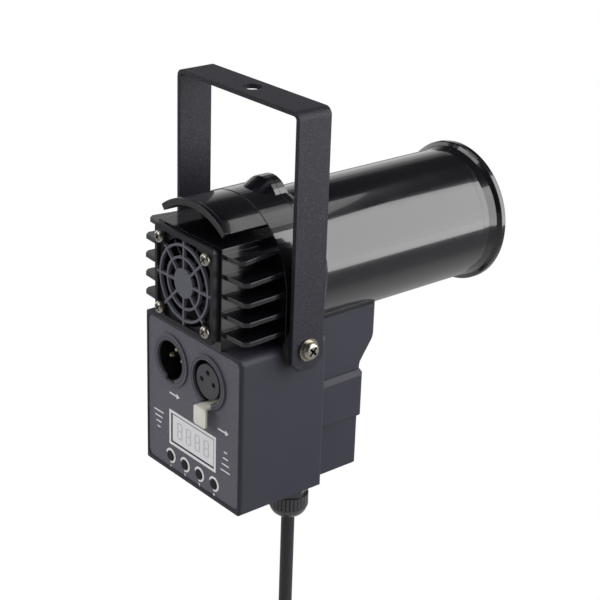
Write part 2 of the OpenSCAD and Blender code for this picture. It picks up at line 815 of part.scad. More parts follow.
module fan_frame() {
    color([0.08, 0.08, 0.085]) head() translate([0, 0, fan_lift]) difference() {
        union() {
            difference() {
                draw_y(fan_front_y, fan_rear_y)
                    polygon(round_rect([-fan_size / 2, -fan_size / 2], [fan_size / 2, fan_size / 2], 1.5));
                bar_y(fan_front_y - 1, fan_rear_y + 1, fan_bore_r);
            }
            bar_y(fan_front_y, fan_front_y + base_t, hub_r);
            for (a = [20, 110, 200, 290]) {
                rotate([0, a, 0]) block([hub_r - 1, fan_front_y, -1], [fan_bore_r + 0.6, fan_front_y + base_t, 1]);
            }
        }
        bar_y(fan_front_y - 1, fan_front_y + base_t + 1, 1.5 + run_gap);
        for (x = [-1, 1]) {
            for (z = [-1, 1]) {
                translate([x * fan_screw_pitch / 2, 0, z * fan_screw_pitch / 2])
                    bar_y(fan_front_y - 1, fan_rear_y + 1, 1.7);
            }
        }
    }
}

module fan_rotor() {
    front_y = fan_front_y + base_t + 0.4;
    back_y = fan_rear_y - 0.6;
    color([0.1, 0.1, 0.105]) head() translate([0, 0, fan_lift]) {
        bar_y(fan_front_y + 0.2, front_y + 1, 1.5);
        bar_y(front_y, back_y, hub_r);
        intersection() {
            bar_y(front_y, back_y, blade_tip_r);
            for (i = [0:blade_count - 1]) {
                rotate([0, i * 360 / blade_count, 0]) translate([hub_r - 1, (front_y + back_y) / 2, 0])
                    rotate([38, 0, 0]) block([0, -6, -0.55], [blade_tip_r, 6, 0.55]);
            }
        }
    }
}

module fan_screws() {
    color(steel) head() for (x = [-1, 1]) {
        for (z = [-1, 1]) {
            translate([x * fan_screw_pitch / 2, 0, fan_lift + z * fan_screw_pitch / 2])
                rotate([0, 0, 90]) pan_screw(grille_rear_y, fan_front_y - 6, 2.8, 5.4, 1.9);
        }
    }
}

// Outline of the barrel's wall: radius, and distance forward from the tilt axis
function barrel_outer() = [
    [collar_r, seam_reach],
    [collar_r, seam_reach + 3],
    [collar_r - 0.9, seam_reach + 4],
    [barrel_r + 0.7, seam_reach + shoulder_len - 1.4],
    [barrel_r, seam_reach + shoulder_len],
    [barrel_r, barrel_reach - rim_len - flare_len - groove_len],
    [barrel_r - 0.6, barrel_reach - rim_len - flare_len - groove_len + 0.5],
    [barrel_r - 0.6, barrel_reach - rim_len - flare_len + 0.2],
    [rim_r - 1.9, barrel_reach - rim_len - 0.9],
    [rim_r - 0.4, barrel_reach - rim_len],
    [rim_r, barrel_reach - rim_len + 0.6],
    [rim_r, barrel_reach - 0.7],
    [rim_r - 0.6, barrel_reach]
];

function barrel_inner() = [
    [mouth_r + 0.8, barrel_reach],
    [mouth_r, barrel_reach - 1],
    [mouth_r, barrel_reach - lens_back],
    [bore_r - 2, barrel_reach - lens_back],
    [bore_r - 2, barrel_reach - lens_back - 2],
    [bore_r, barrel_reach - lens_back - 2.6],
    [bore_r, tube_rear]
];

// Side outline of the neck, as distance along Y and height
module neck_outline(inset) {
    front = box_front_y - neck_depth + inset;
    low = box_front_y - case_depth + 1.2 + inset;
    polygon(concat(
        [[box_front_y - inset, barrel_lift - 6], [front, barrel_lift - 6]],
        arc(front + 14, case_top_z + 20.5, 14, 180, 218, 6),
        arc(low - 4.6, case_top_z + 1.6, 4.6, 38, 0, 4),
        [[low, case_top_z], [box_front_y - inset, case_top_z]]
    ));
}

module neck_plan(inset) {
    polygon(round_rect([inset - neck_half, box_front_y - neck_depth + inset],
        [neck_half - inset, box_front_y + 6], 2.4));
}

// Bosses across the neck for the screws that close the two halves
half_screw_places = [[box_front_y - 8, case_top_z + 7], [box_front_y - neck_depth + 9, -5]];

// Both halves of the barrel as one, before they are parted along the middle
module barrel_whole() {
    difference() {
        union() {
            turn_barrel() polygon(concat([[0, seam_reach]], barrel_outer(), [[0, barrel_reach]]));
            // Saddle that rests on the box in front of the collar
            block([-barrel_r, box_front_y, 0], [barrel_r, seam_y, barrel_lift]);
            intersection() {
                draw_x(-neck_half, neck_half) neck_outline(0);
                translate([0, 0, case_top_z]) linear_extrude(barrel_lift - case_top_z) neck_plan(0);
            }
            hump(seam_y - 0.1, seam_y - hump_flat, seam_y - hump_front, 0, hump_rise + 4.4);
        }
        difference() {
            intersection() {
                draw_x(2.4 - neck_half, neck_half - 2.4) neck_outline(2.4);
                translate([0, 0, case_top_z - 1]) linear_extrude(barrel_lift - case_top_z) neck_plan(2.4);
            }
            turn_barrel() polygon([[0, 0], [barrel_r, 0], [barrel_r, barrel_reach], [0, barrel_reach]]);
            for (p = half_screw_places) {
                translate([0, p[0], p[1]]) bar_x(-neck_half, neck_half, 3.2);
            }
        }
        block([2.4 - neck_half, box_front_y - neck_depth + 3, case_top_z - 1],
            [neck_half - 2.4, box_front_y - case_depth, case_top_z]);
        turn_barrel() polygon(concat([[0, barrel_reach + 1], [mouth_r + 0.8, barrel_reach + 1]],
            barrel_inner(), [[0, tube_rear]]));
        translate([0, 0, barrel_lift]) bar_y(seam_y + 1, -tube_rear - 1, collar_r - 5);
        // Room for the box under the barrel's shoulder
        block([-box_w, box_front_y, case_top_z - 1], [box_w, seam_y + 1, 0]);
        // Passage for the wires from the barrel down into the neck
        block([-5, box_front_y - 20, -8], [5, box_front_y - 10, 4]);
    }
}

module barrel_left() {
    color(gloss_black) head() difference() {
        intersection() {
            barrel_whole();
            block([0, rim_y - 1, case_top_z - 1], [collar_r + 1, seam_y, barrel_lift + collar_r + 9]);
        }
        for (p = half_screw_places) {
            translate([0, p[0], p[1]]) {
                bar_x(-1, neck_half + 1, 1.5 + slip);
                bar_x(neck_half - 4.5, neck_half + 1, 3);
            }
        }
    }
}

module barrel_right() {
    color(gloss_black) head() difference() {
        intersection() {
            barrel_whole();
            block([-collar_r - 1, rim_y - 1, case_top_z - 1], [0, seam_y, barrel_lift + collar_r + 9]);
        }
        for (p = half_screw_places) {
            translate([0, p[0], p[1]]) bar_x(-12, 1, 1.5 + eps);
        }
    }
}

module half_screws() {
    color(steel) head() for (p = half_screw_places) {
        translate([0, p[0], p[1]]) pan_screw(neck_half - 4.5, -11, 3, 5.4, 2);
    }
}

// Distance forward of the front lens's flat back
function lens_flat() = barrel_reach - lens_back + 0.8;

module front_lens() {
    r = mouth_r - 0.2;
    dome_r = (r * r + lens_rise * lens_rise) / (2 * lens_rise);
    half_angle = asin(r / dome_r);
    back = lens_flat();
    color([0.8, 0.85, 0.9, 0.4]) head() turn_barrel() polygon(concat(
        [[0, back], [r, back]],
        arc(0, back + lens_edge + lens_rise - dome_r, dome_r, 90 - half_angle, 90, 14)
    ));
}

module lens_seal() {
    back = barrel_reach - lens_back;
    color([0.04, 0.04, 0.04]) head() turn_barrel()
        polygon([[bore_r - 1.9, back], [mouth_r - 0.2, back], [mouth_r - 0.2, back + 0.8], [bore_r - 1.9, back + 0.8]]);
}

module lens_ring() {
    front = lens_flat() + lens_edge;
    color([0.07, 0.07, 0.075]) head() turn_barrel() polygon([
        [mouth_r - 1.2, front + 0.4],
        [mouth_r - 0.1, front],
        [mouth_r - 0.1, front + 3],
        [mouth_r - 1.8, front + 3],
        [mouth_r - 2.4, front + 2.2]
    ]);
}

module light_board() {
    color([0.92, 0.92, 0.9]) head() translate([0, 0, barrel_lift]) difference() {
        bar_y(light_y, pedestal_y, board_r);
        for (a = [45, 135, 225, 315]) {
            rotate([0, a, 0]) translate([board_r - 3, 0, 0]) bar_y(light_y - 1, pedestal_y + 1, 1.2);
        }
    }
}

module light_chip() {
    color([0.95, 0.9, 0.6]) head() translate([0, 0, barrel_lift]) {
        block([-3.5, light_y - 1, -3.5], [3.5, light_y, 3.5]);
        for (x = [-1.5, 1.5]) {
            for (z = [-1.5, 1.5]) {
                translate([x, 0, z]) block([-1.1, light_y - 1.5, -1.1], [1.1, light_y - 1 + eps, 1.1]);
            }
        }
    }
}

module collimator() {
    near = -light_y + 1.8;
    color([0.85, 0.9, 0.95, 0.5]) head() turn_barrel() polygon([
        [0, near + 2.5],
        [4.2, near + 2.5],
        [4.8, near],
        [6.2, near],
        [12, near + 6],
        [17.5, near + 13],
        [collimator_r - 1, near + collimator_len - 2],
        [collimator_r, near + collimator_len - 2],
        [collimator_r, near + collimator_len],
        [0, near + collimator_len]
    ]);
}

module collimator_holder() {
    near = -light_y;
    tip = near + 1.8 + collimator_len - 2.2;
    color([0.06, 0.06, 0.065]) head() difference() {
        turn_barrel() polygon([
            [board_r - 2.6, near],
            [board_r - 0.6, near],
            [collimator_r + 1.4, near + 4],
            [collimator_r + 1.4, tip + 3],
            [collimator_r + 0.2, tip + 3],
            [collimator_r + 0.2, tip],
            [collimator_r - 0.6, tip],
            [board_r - 1, near + 5]
        ]);
        for (a = [45, 135, 225, 315]) {
            rotate([0, 0, 0]) translate([0, 0, barrel_lift]) rotate([0, a, 0])
                block([board_r - 6, -near - 2.4, -3], [board_r + 4, -near + 1, 3]);
        }
    }
}

// Outer plan of the driver case, for a half width and a depth
module case_plan(half, depth) {
    polygon(round_rect([-half, box_front_y - depth], [half, box_front_y + 6], 2.2));
}

// Side or front outline of the band, sloped above and square below
module band_outline(lo, hi) {
    band_lo = case_top_z - 22.5;
    band_hi = case_top_z;
    polygon([[lo, band_lo], [hi, band_lo], [hi, band_hi - 2.6], [hi - 1.4, band_hi - 0.2],
        [hi - 1.4, band_hi], [lo + 1.4, band_hi], [lo + 1.4, band_hi - 0.2], [lo, band_hi - 2.6]]);
}

module driver_case() {
    band_depth = case_depth + 0.7;
    // Strip that closes the case's back below the box
    color(satin_black) head() block([1.5 - neck_half, box_front_y - 2.2, case_low_z + 1],
        [neck_half - 1.5, box_front_y, floor_z + 4]);
    color(satin_black) head() difference() {
        union() {
            translate([0, 0, case_low_z]) linear_extrude(case_h) case_plan(neck_half, case_depth);
            intersection() {
                draw_y(box_front_y - band_depth, box_front_y + 6) band_outline(-band_half, band_half);
                draw_x(-band_half, band_half) band_outline(box_front_y - band_depth, box_front_y + 6);
                translate([0, 0, case_low_z]) linear_extrude(case_h) case_plan(band_half, band_depth);
            }
        }
        block([-box_w, box_front_y, case_low_z - 1], [box_w, rear_y, 1]);
        translate([0, 0, case_low_z + 2.2]) linear_extrude(case_h) case_plan(neck_half - 2.2, case_depth - 2.2);
    }
}

module driver_board() {
    near_y = box_front_y - 4;
    half = neck_half - 3.5;
    color(board_green) head() block([-half, near_y - board_t, case_low_z + 5],
        [half, near_y, case_top_z - 3]);
}

module driver_parts() {
    near_y = box_front_y - 4 - board_t;
    h = case_h;
    w = neck_half;
    d = case_depth;
    color([0.35, 0.3, 0.2]) head() {
        block([-w * 0.76, near_y - d * 0.43, case_low_z + h * 0.5], [-w * 0.14, near_y, case_low_z + h * 0.84]);
        translate([w * 0.38, 0, case_low_z + h * 0.7]) bar_y(near_y - d * 0.5, near_y, w * 0.24);
        translate([w * 0.64, 0, case_low_z + h * 0.42]) bar_y(near_y - d * 0.37, near_y, w * 0.19);
        block([-w * 0.72, near_y - d * 0.25, case_low_z + h * 0.24],
            [-w * 0.29, near_y, case_low_z + h * 0.4]);
        block([-w * 0.1, near_y - d * 0.15, case_low_z + h * 0.18], [w * 0.24, near_y, case_low_z + h * 0.4]);
    }
}

module at_gland() {
    translate([gland_x, gland_y, -pivot_drop + floor_z]) children();
}

module gland_body() {
    thread = gland_thread_r();
    bore = cord_d / 2 + 0.6;
    color([0.06, 0.06, 0.065]) at_gland() difference() {
        union() {
            translate([0, 0, -gland_collar_h]) cylinder(h = gland_collar_h, r = gland_r, $fn = 6);
            translate([0, 0, -gland_collar_h - gland_rib_h + 1]) cylinder(h = gland_rib_h, r = thread - 0.6);
            cylinder(h = box_wall + 7, r = thread);
        }
        translate([0, 0, -gland_collar_h - gland_rib_h]) cylinder(h = gland_len + 20, r = bore);
    }
}

module gland_locknut() {
    color([0.06, 0.06, 0.065]) at_gland() translate([0, 0, box_wall]) difference() {
        cylinder(h = 4, r = gland_thread_r() + 2.2, $fn = 6);
        translate([0, 0, -1]) cylinder(h = 6, r = gland_thread_r() + eps);
    }
}

module gland_seal() {
    top = -gland_collar_h - gland_rib_h + 0.9;
    color([0.1, 0.1, 0.1]) at_gland() difference() {
        translate([0, 0, top - 4]) cylinder(h = 4, r = cord_d / 2 + 1.6);
        translate([0, 0, top - 5]) cylinder(h = 6, r = cord_d / 2 + eps);
    }
}

module gland_nut() {
    rib_top = -gland_collar_h;
    rib_low = rib_top - gland_rib_h;
    mouth = cord_d / 2 + 0.5;
    color([0.06, 0.06, 0.065]) at_gland() difference() {
        rotate_extrude() polygon(concat(
            [[0, rib_top], [gland_r, rib_top], [gland_r, rib_low]],
            arc(gland_r - gland_dome_h, rib_low, gland_dome_h - 0.4, 0, -78, 6),
            [[mouth + 1, rib_low - gland_dome_h], [0, rib_low - gland_dome_h]]
        ));
        translate([0, 0, rib_low + 0.6]) cylinder(h = gland_rib_h + 1, r = gland_thread_r() - 0.5);
        translate([0, 0, rib_low - 3.5]) cylinder(h = 6, r = cord_d / 2 + 1.7);
        translate([0, 0, -gland_len - 1]) cylinder(h = gland_len, r = mouth);
        for (i = [0:29]) {
            rotate([0, 0, i * 12]) translate([gland_r, 0, rib_low + 0.2])
                cylinder(h = gland_rib_h + 1, r = 0.45, $fn = 4);
        }
    }
}

// Straight run of the cable from inside the gland, then its bend into the coil
module power_cord() {
    path = concat([[gland_x, gland_y, exit_z + 9]], lead_points);
    color([0.03, 0.03, 0.035]) swept_tube(path, [0, 0, -1], join_run, cord_d / 2, 10);
}

function coil_path() = concat([lead_end], [for (i = [0:coil_steps]) coil_point(i)], [coil_end]);

// Least gap between two turns, measured from point to point one turn apart
function coil_gap() = min([
    for (i = [0:coil_steps - rings_per_turn - 2])
        for (j = [rings_per_turn - 2:rings_per_turn + 2])
            norm(coil_point(i + j) - coil_point(i))
]) - cord_d;

module cord_coil() {
    echo(least_gap_between_turns = coil_gap());
    color([0.03, 0.03, 0.035]) swept_tube(coil_path(), join_run, [0, 0, -1], cord_d / 2, 6);
}

module cord_tail() {
    path = [coil_end, coil_end - [0, 0, tail_len / 2], plug_top - [0, 0, 4]];
    color([0.03, 0.03, 0.035]) swept_tube(path, [0, 0, -1], [0, 0, -1], cord_d / 2, 10);
}

// Band strapped round all the turns near the top of the coil
module cord_tie() {
    width = coil_pitch * coil_sweep / 360 + cord_d + 0.8;
    mid_x = gland_x + coil_pitch * coil_sweep / 720;
    color([0.05, 0.05, 0.055]) translate([mid_x, coil_mid[1], coil_mid[2]]) rotate([38, 0, 0])
        translate([0, 0, coil_r]) difference() {
            block([-width / 2 - 1, -4, -cord_d / 2 - 1.6], [width / 2 + 1, 4, cord_d / 2 + 1.6]);
            block([-width / 2, -5, -cord_d / 2 - 0.6], [width / 2, 5, cord_d / 2 + 0.6]);
        }
}

module plug_body() {
    neck_r = cord_d / 2 + 1;
    body_w = 34;
    body_t = 13;
    shoulder = [[-body_w / 2, -plug_body_h], [body_w / 2, -plug_body_h], [body_w / 2, -12],
        [neck_r + 3, 0], [-neck_r - 3, 0], [-body_w / 2, -12]];
    color([0.04, 0.04, 0.045]) translate(plug_top) difference() {
        union() {
            translate([0, 0, -plug_neck]) cylinder(h = plug_neck, r1 = neck_r + 2.4, r2 = neck_r);
            translate([0, 0, -plug_neck + eps]) intersection() {
                draw_y(-body_t / 2, body_t / 2) polygon(shoulder);
                translate([0, 0, -plug_body_h - 1]) linear_extrude(plug_body_h + 2)
                    polygon(round_rect([-body_w / 2, -body_t / 2], [body_w / 2, body_t / 2], 4));
            }
        }
        translate([0, 0, -4]) cylinder(h = 5, r = cord_d / 2 + eps);
        for (x = [-1, 1]) {
            translate([x * pin_pitch / 2, 0, -plug_neck - plug_body_h - 1]) cylinder(h = 8, r = 2 + eps);
        }
    }
}

module plug_pins() {
    color(steel) translate(plug_top - [0, 0, plug_neck + plug_body_h]) for (x = [-1, 1]) {
        translate([x * pin_pitch / 2, 0, -pin_len + 1]) cylinder(h = pin_len + 5, r = 2);
        translate([x * pin_pitch / 2, 0, -pin_len]) cylinder(h = 1 + eps, r1 = 1.2, r2 = 2);
    }
}

yoke_bracket();
pivot_screws();
pivot_washers();
friction_discs();
pivot_inserts();
control_box();
control_panel();
display_window();
display_module();
control_board();
key_switches();
key_cap(0);  // key_1
key_cap(1);  // key_2
key_cap(2);  // key_3
key_cap(3);  // key_4
socket_in_shell();
socket_in_pins();
socket_out_shell();
socket_out_block();
socket_out_contacts();
socket_out_latch();
socket_board();
rear_housing();
fan_grille();
fan_frame();
fan_rotor();
fan_screws();
barrel_left();
barrel_right();
half_screws();
front_lens();
lens_seal();
lens_ring();
light_board();
light_chip();
collimator();
collimator_holder();
driver_case();
driver_board();
driver_parts();
gland_body();
gland_locknut();
gland_seal();
gland_nut();
power_cord();
cord_coil();
cord_tail();
cord_tie();
plug_body();
plug_pins();
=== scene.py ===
"""Looks of the pinspot light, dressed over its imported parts. Metres, +Z up, the lens faces -Y."""

import json
import math

import bpy
from mathutils import Matrix, Vector


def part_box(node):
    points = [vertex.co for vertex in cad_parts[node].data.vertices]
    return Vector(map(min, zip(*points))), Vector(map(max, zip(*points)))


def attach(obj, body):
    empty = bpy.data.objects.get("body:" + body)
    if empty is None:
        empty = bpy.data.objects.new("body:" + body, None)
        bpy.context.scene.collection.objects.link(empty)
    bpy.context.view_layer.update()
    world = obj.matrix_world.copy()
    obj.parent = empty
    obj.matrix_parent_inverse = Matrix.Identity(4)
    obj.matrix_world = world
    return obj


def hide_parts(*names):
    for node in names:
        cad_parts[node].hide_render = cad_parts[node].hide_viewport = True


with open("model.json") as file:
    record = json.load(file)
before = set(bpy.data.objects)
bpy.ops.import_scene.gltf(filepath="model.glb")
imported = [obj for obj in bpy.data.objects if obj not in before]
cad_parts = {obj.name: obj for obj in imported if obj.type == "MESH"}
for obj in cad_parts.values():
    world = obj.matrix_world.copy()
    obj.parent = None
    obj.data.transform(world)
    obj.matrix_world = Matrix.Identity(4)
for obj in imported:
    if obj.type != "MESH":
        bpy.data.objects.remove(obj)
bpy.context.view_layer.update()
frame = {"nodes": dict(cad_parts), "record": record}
nodes = frame["nodes"]

# Places that the solids have too
PIVOT_Z = -0.1023  # axis of the two tilt screws
AXIS_Z = PIVOT_Z + 0.0236  # axis of the barrel
FAN_Z = PIVOT_Z + 0.024  # axis of the fan
FAN_SCREW_OUT = 0.016  # from the fan's axis to each of its screws, across and up
PANEL_Y = 0.0292  # rear face of the control panel

# The camera stands behind the control box, to its right, and looks down on it
CAMERA_AT = (-0.4908, 0.3908, 0.1763)
YAW, PITCH, ROLL = math.radians(49.43), math.radians(23.28), math.radians(-1.93)
LENS_MM = 95.53
SENSOR_MM = 36
NEAR_CLIP = 0.02


def place_camera():
    ahead = Vector((math.sin(YAW) * math.cos(PITCH), -math.cos(YAW) * math.cos(PITCH),
                    -math.sin(PITCH)))
    right = ahead.cross(Vector((0, 0, 1))).normalized()
    down = ahead.cross(right)
    c, s = math.cos(ROLL), math.sin(ROLL)
    right, down = c * right + s * down, c * down - s * right
    turn = Matrix((right, -down, -ahead)).transposed().to_4x4()
    data = bpy.data.cameras.new("photo_camera")
    data.lens = LENS_MM
    data.sensor_width = SENSOR_MM
    data.clip_start = NEAR_CLIP
    camera = bpy.data.objects.new("photo_camera", data)
    bpy.context.scene.collection.objects.link(camera)
    camera.matrix_world = Matrix.Translation(CAMERA_AT) @ turn
    bpy.context.scene.camera = camera


place_camera()


# ---- shader maths ---------------------------------------------------------------------------

# A Mix node's sockets are told apart only by number: those of numbers, then those of colours
MIX_LOW, MIX_HIGH, MIX_RESULT = 2, 3, 0
COLOUR_LOW, COLOUR_HIGH, COLOUR_RESULT = 6, 7, 2


class Value:
    """A shader value. Its operators add Math nodes to the graph it belongs to."""

    def __init__(self, graph, socket):
        self.graph = graph
        self.socket = socket

    def maths(self, operation, *others):
        values = dict(enumerate((self, *others)))
        return self.graph.add("ShaderNodeMath", {"operation": operation}, values)

    def __add__(self, other):
        return self.maths("ADD", other)

    __radd__ = __add__

    def __sub__(self, other):
        return self.maths("SUBTRACT", other)

    def __rsub__(self, other):
        return self.graph.add("ShaderNodeMath", {"operation": "SUBTRACT"}, {0: other, 1: self})

    def __mul__(self, other):
        return self.maths("MULTIPLY", other)

    __rmul__ = __mul__

    def __pow__(self, other):
        return self.maths("POWER", other)

    def __abs__(self):
        return self.maths("ABSOLUTE")

    def __gt__(self, other):
        return self.maths("GREATER_THAN", other)

    def __lt__(self, other):
        return self.maths("LESS_THAN", other)

    def step(self, low, high):
        """0 below low, 1 above high, and smooth between them"""
        return self.graph.add("ShaderNodeMapRange", {"interpolation_type": "SMOOTHSTEP"},
                              {0: self, 1: low, 2: high})


def span(across, up):
    """Distance from an axis, given the two distances square to it"""
    return (across * across + up * up) ** 0.5


class Graph:
    """A node tree, in which one method adds every node"""

    def __init__(self, tree):
        self.tree = tree

    def add(self, kind, settings, values, output=0):
        """The settings come first, then each socket's value or link"""
        node = self.tree.nodes.new(kind)
        for key, setting in settings.items():
            setattr(node, key, setting)
        for key, value in values.items():
            self.feed(node.inputs[key], value)
        return Value(self, node.outputs[output])

    def feed(self, socket, value):
        if isinstance(value, Value):
            self.tree.links.new(value.socket, socket)
        else:
            socket.default_value = value

    def mix(self, factor, low, high):
        return self.add("ShaderNodeMix", {}, {0: factor, MIX_LOW: low, MIX_HIGH: high}, MIX_RESULT)

    def ray(self, kind):
        return self.add("ShaderNodeLightPath", {}, {}, "Is %s Ray" % kind)

    def seen(self):
        """1 on rays that come straight from the camera or through glass"""
        return self.ray("Camera").maths("MAXIMUM", self.ray("Transmission"))


class Finish(Graph):
    """One surface finish, on the piece's own Object coordinates, in metres.

    Its colour and roughness are the plain ones, for a viewer that can't follow the patterns."""

    def __init__(self, name, colour, rough, metal=0.0, coat=0.0, ior=1.5):
        self.material = bpy.data.materials.new(name)
        self.material.use_nodes = True
        super().__init__(self.material.node_tree)
        self.surface = self.tree.nodes["Principled BSDF"]
        self.place = self.add("ShaderNodeTexCoord", {}, {}, "Object")
        self.set("IOR", ior)
        self.set("Base Color", (*colour, 1.0))
        self.set("Roughness", rough)
        self.set("Metallic", metal)
        self.set("Coat Weight", coat)
        self.set("Coat Roughness", 0.04)

    def set(self, name, value):
        self.feed(self.surface.inputs[name], value)

    def dress(self, colour=None, rough=None, normal=None):
        """Feeds what varies over the surface, and gives the material"""
        for name, value in (("Base Color", colour), ("Roughness", rough), ("Normal", normal)):
            if value is not None:
                self.set(name, value)
        return self.material

    def cover(self, mask, other):
        """Where the mask is 1, the other shader shows in place of the surface"""
        own = Value(self, self.surface.outputs[0])
        mixed = self.add("ShaderNodeMixShader", {}, {0: mask, 1: own, 2: other})
        self.feed(self.tree.nodes["Material Output"].inputs["Surface"], mixed)

    def second_surface(self, mask, colour, rough, ior):
        """Where the mask is 1 another surface shows. What is set after this goes to that one."""
        second = self.add("ShaderNodeBsdfPrincipled", {},
                          {"Base Color": (*colour, 1.0), "Roughness": rough, "IOR": ior})
        self.cover(mask, second)
        self.surface = second.socket.node

    def axes(self):
        node = self.add("ShaderNodeSeparateXYZ", {}, {0: self.place}).socket.node
        return [Value(self, output) for output in node.outputs]

    def noise(self, scale, detail=2.0, rough=0.5, stretch=None):
        place = self.place
        if stretch:
            place = self.add("ShaderNodeMapping", {}, {"Vector": place, "Scale": stretch})
        return self.add("ShaderNodeTexNoise", {}, {"Vector": place, "Scale": scale,
                                                   "Detail": detail, "Roughness": rough})

    def cells(self, scale):
        return self.add("ShaderNodeTexVoronoi", {}, {"Vector": self.place, "Scale": scale},
                        "Distance")

    def blend(self, factor, low, high):
        """Colour that goes from low to high with the factor"""
        values = {0: factor, COLOUR_LOW: (*low, 1.0), COLOUR_HIGH: (*high, 1.0)}
        return self.add("ShaderNodeMix", {"data_type": "RGBA"}, values, COLOUR_RESULT)

    def relief(self, height, depth, strength, base=None):
        values = {"Height": height, "Distance": depth, "Strength": strength}
        if base is not None:
            values["Normal"] = base
        return self.add("ShaderNodeBump", {}, values)

    def rounded(self, radius):
        """Normal that rounds sharp edges over a radius"""
        return self.add("ShaderNodeBevel", {"samples": 6}, {"Radius": radius})


# ---- finishes -------------------------------------------------------------------------------


def powder_coat():
    """Black powder coat with its fine leathery grain"""
    black, fleck = (0.017, 0.017, 0.026), (0.075, 0.075, 0.09)
    f = Finish("powder_coat", colour=(0.014, 0.014, 0.022), rough=0.46, ior=1.38)
    grain = f.noise(scale=1900, detail=3, rough=0.6)
    flecks = f.noise(scale=2600, detail=1).step(0.6, 0.72)
    return f.dress(colour=f.blend(flecks, black, fleck),
                   rough=0.4 + 0.2 * grain,
                   normal=f.relief(grain, depth=0.00012, strength=0.55, base=f.rounded(0.0004)))


SATIN_BASE = {"colour": (0.04, 0.04, 0.054), "rough": 0.42, "ior": 1.33}

# The neck lies outside the barrel's round wall, below its axis, between the rear housing and the
# driver case's front end
NECK_REACH = 0.0315
NECK_DROP = 0.012
NECK_REAR_Y, NECK_FRONT_Y = -0.0098, -0.07


def satin(f):
    """Slate-black satin, a little cloudy"""
    slate, pale_slate = (0.036, 0.036, 0.05), (0.045, 0.045, 0.06)
    grain = f.noise(scale=2600, detail=3, rough=0.6)
    cloud = f.noise(scale=28, detail=3, rough=0.55)
    return f.dress(colour=f.blend(cloud, slate, pale_slate),
                   rough=0.38 + 0.12 * cloud,
                   normal=f.relief(grain, depth=0.00006, strength=0.4, base=f.rounded(0.0009)))


def satin_box():
    """Satin moulding of the control box and the driver case"""
    return satin(Finish("satin_box", **SATIN_BASE))


def gloss_housing():
    """Piano-black moulding on the barrel and rear housing, satin on the neck below the barrel"""
    black, deep_black = (0.007, 0.007, 0.01), (0.003, 0.003, 0.005)
    f = Finish("gloss_housing", colour=(0.004, 0.004, 0.006), rough=0.16, coat=1.0, ior=1.6)
    x, y, z = f.axes()
    drop = AXIS_Z - z
    below = (span(x, drop) > NECK_REACH) * (drop > NECK_DROP)
    neck = below * (y < NECK_REAR_Y) * (y > NECK_FRONT_Y)
    ripple = f.noise(scale=45)
    f.dress(colour=f.blend(ripple, deep_black, black),
            rough=0.12 + 0.14 * ripple,
            normal=f.relief(ripple, depth=0.00002, strength=0.5, base=f.rounded(0.0006)))
    f.second_surface(neck, **SATIN_BASE)
    return satin(f)


def panel_face():
    """Dark grey panel with a fine spark texture"""
    grey, spark = (0.115, 0.115, 0.142), (0.23, 0.23, 0.26)
    f = Finish("panel_face", colour=(0.1, 0.1, 0.125), rough=0.5)
    grain = f.noise(scale=3200, rough=0.6)
    sparks = f.noise(scale=4200, detail=1).step(0.58, 0.7)
    return f.dress(colour=f.blend(sparks, grey, spark),
                   normal=f.relief(grain, depth=0.0001, strength=0.6, base=f.rounded(0.0004)))


def fan_guard():
    """Fan guard: glossy black plate, its rings and hub painted a paler grey, a painted highlight"""
    black, painted_highlight_grey = (0.016, 0.016, 0.021), (0.125, 0.125, 0.155)
    rings_reach, rings_y = 0.0186, 0.0328
    f = Finish("fan_guard", colour=(0.02, 0.02, 0.025), rough=0.35, ior=1.45)
    x, y, z = f.axes()
    rings = (span(x, z - FAN_Z) < rings_reach) * (y > rings_y)
    grain = f.noise(scale=2200, rough=0.6)
    # The rings and hub get a paler grey as a painted highlight
    return f.dress(colour=f.blend(rings, black, painted_highlight_grey),
                   rough=0.3 + 0.2 * f.noise(scale=150),
                   normal=f.relief(grain, depth=0.00004, strength=0.4, base=f.rounded(0.0003)))


def socket_moulding():
    """Socket face as grey as the panel, with painted shade in black down inside the mouth"""
    grey, black = (0.105, 0.105, 0.13), (0.004, 0.004, 0.005)
    lip = 0.0003  # how far the grey goes into the mouth
    f = Finish("socket_moulding", colour=(0.08, 0.08, 0.1), rough=0.42)
    y = f.axes()[1]
    grain = f.noise(scale=2600, rough=0.6)
    # Deeper than the lip the colour is painted shade, black down inside the mouth
    return f.dress(colour=f.blend(y < PANEL_Y - lip, grey, black),
                   rough=0.38 + 0.12 * f.noise(scale=150),
                   normal=f.relief(grain, depth=0.00004, strength=0.4, base=f.rounded(0.0004)))


def nickel():
    """Nickel plate with fine turning marks"""
    tarnish, plate = (0.44, 0.4, 0.33), (0.62, 0.58, 0.5)
    f = Finish("nickel", colour=(0.56, 0.53, 0.46), rough=0.3, metal=1.0)
    marks = f.noise(scale=900, detail=3, rough=0.7, stretch=(1.0, 6.0, 1.0))
    return f.dress(colour=f.blend(f.noise(scale=300), tarnish, plate),
                   rough=0.16 + 0.2 * marks,
                   normal=f.relief(marks, depth=0.00002, strength=0.3))


def cross_screw(name, from_screw, rim, reach):
    """Nickel screw head with its cross recess painted dark, a painted shade.

    from_screw turns a place into how far out along the screw it is and its two distances from
    the screw's axis. Inside the reach, what is less far out than the rim is the recess."""
    plate, shade = (0.56, 0.53, 0.46), (0.03, 0.028, 0.024)
    f = Finish(name, colour=plate, rough=0.28, metal=1.0)
    out, across, up = from_screw(*f.axes())
    recess = (out < rim) * (span(across, up) < reach)
    marks = f.noise(scale=900, detail=3, rough=0.7)
    # The recess is painted a dark colour as painted shade
    return f.dress(colour=f.blend(recess, plate, shade),
                   rough=0.18 + 0.2 * marks,
                   normal=f.relief(marks, depth=0.00002, strength=0.3, base=f.rounded(0.0002)))


def pivot_screw():
    """Tilt screws, one on each side"""
    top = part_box("pivot_screws")[1][0]
    return cross_screw("pivot_screw", lambda x, y, z: (abs(x), y, z - PIVOT_Z),
                       rim=top - 0.0005, reach=0.0021)


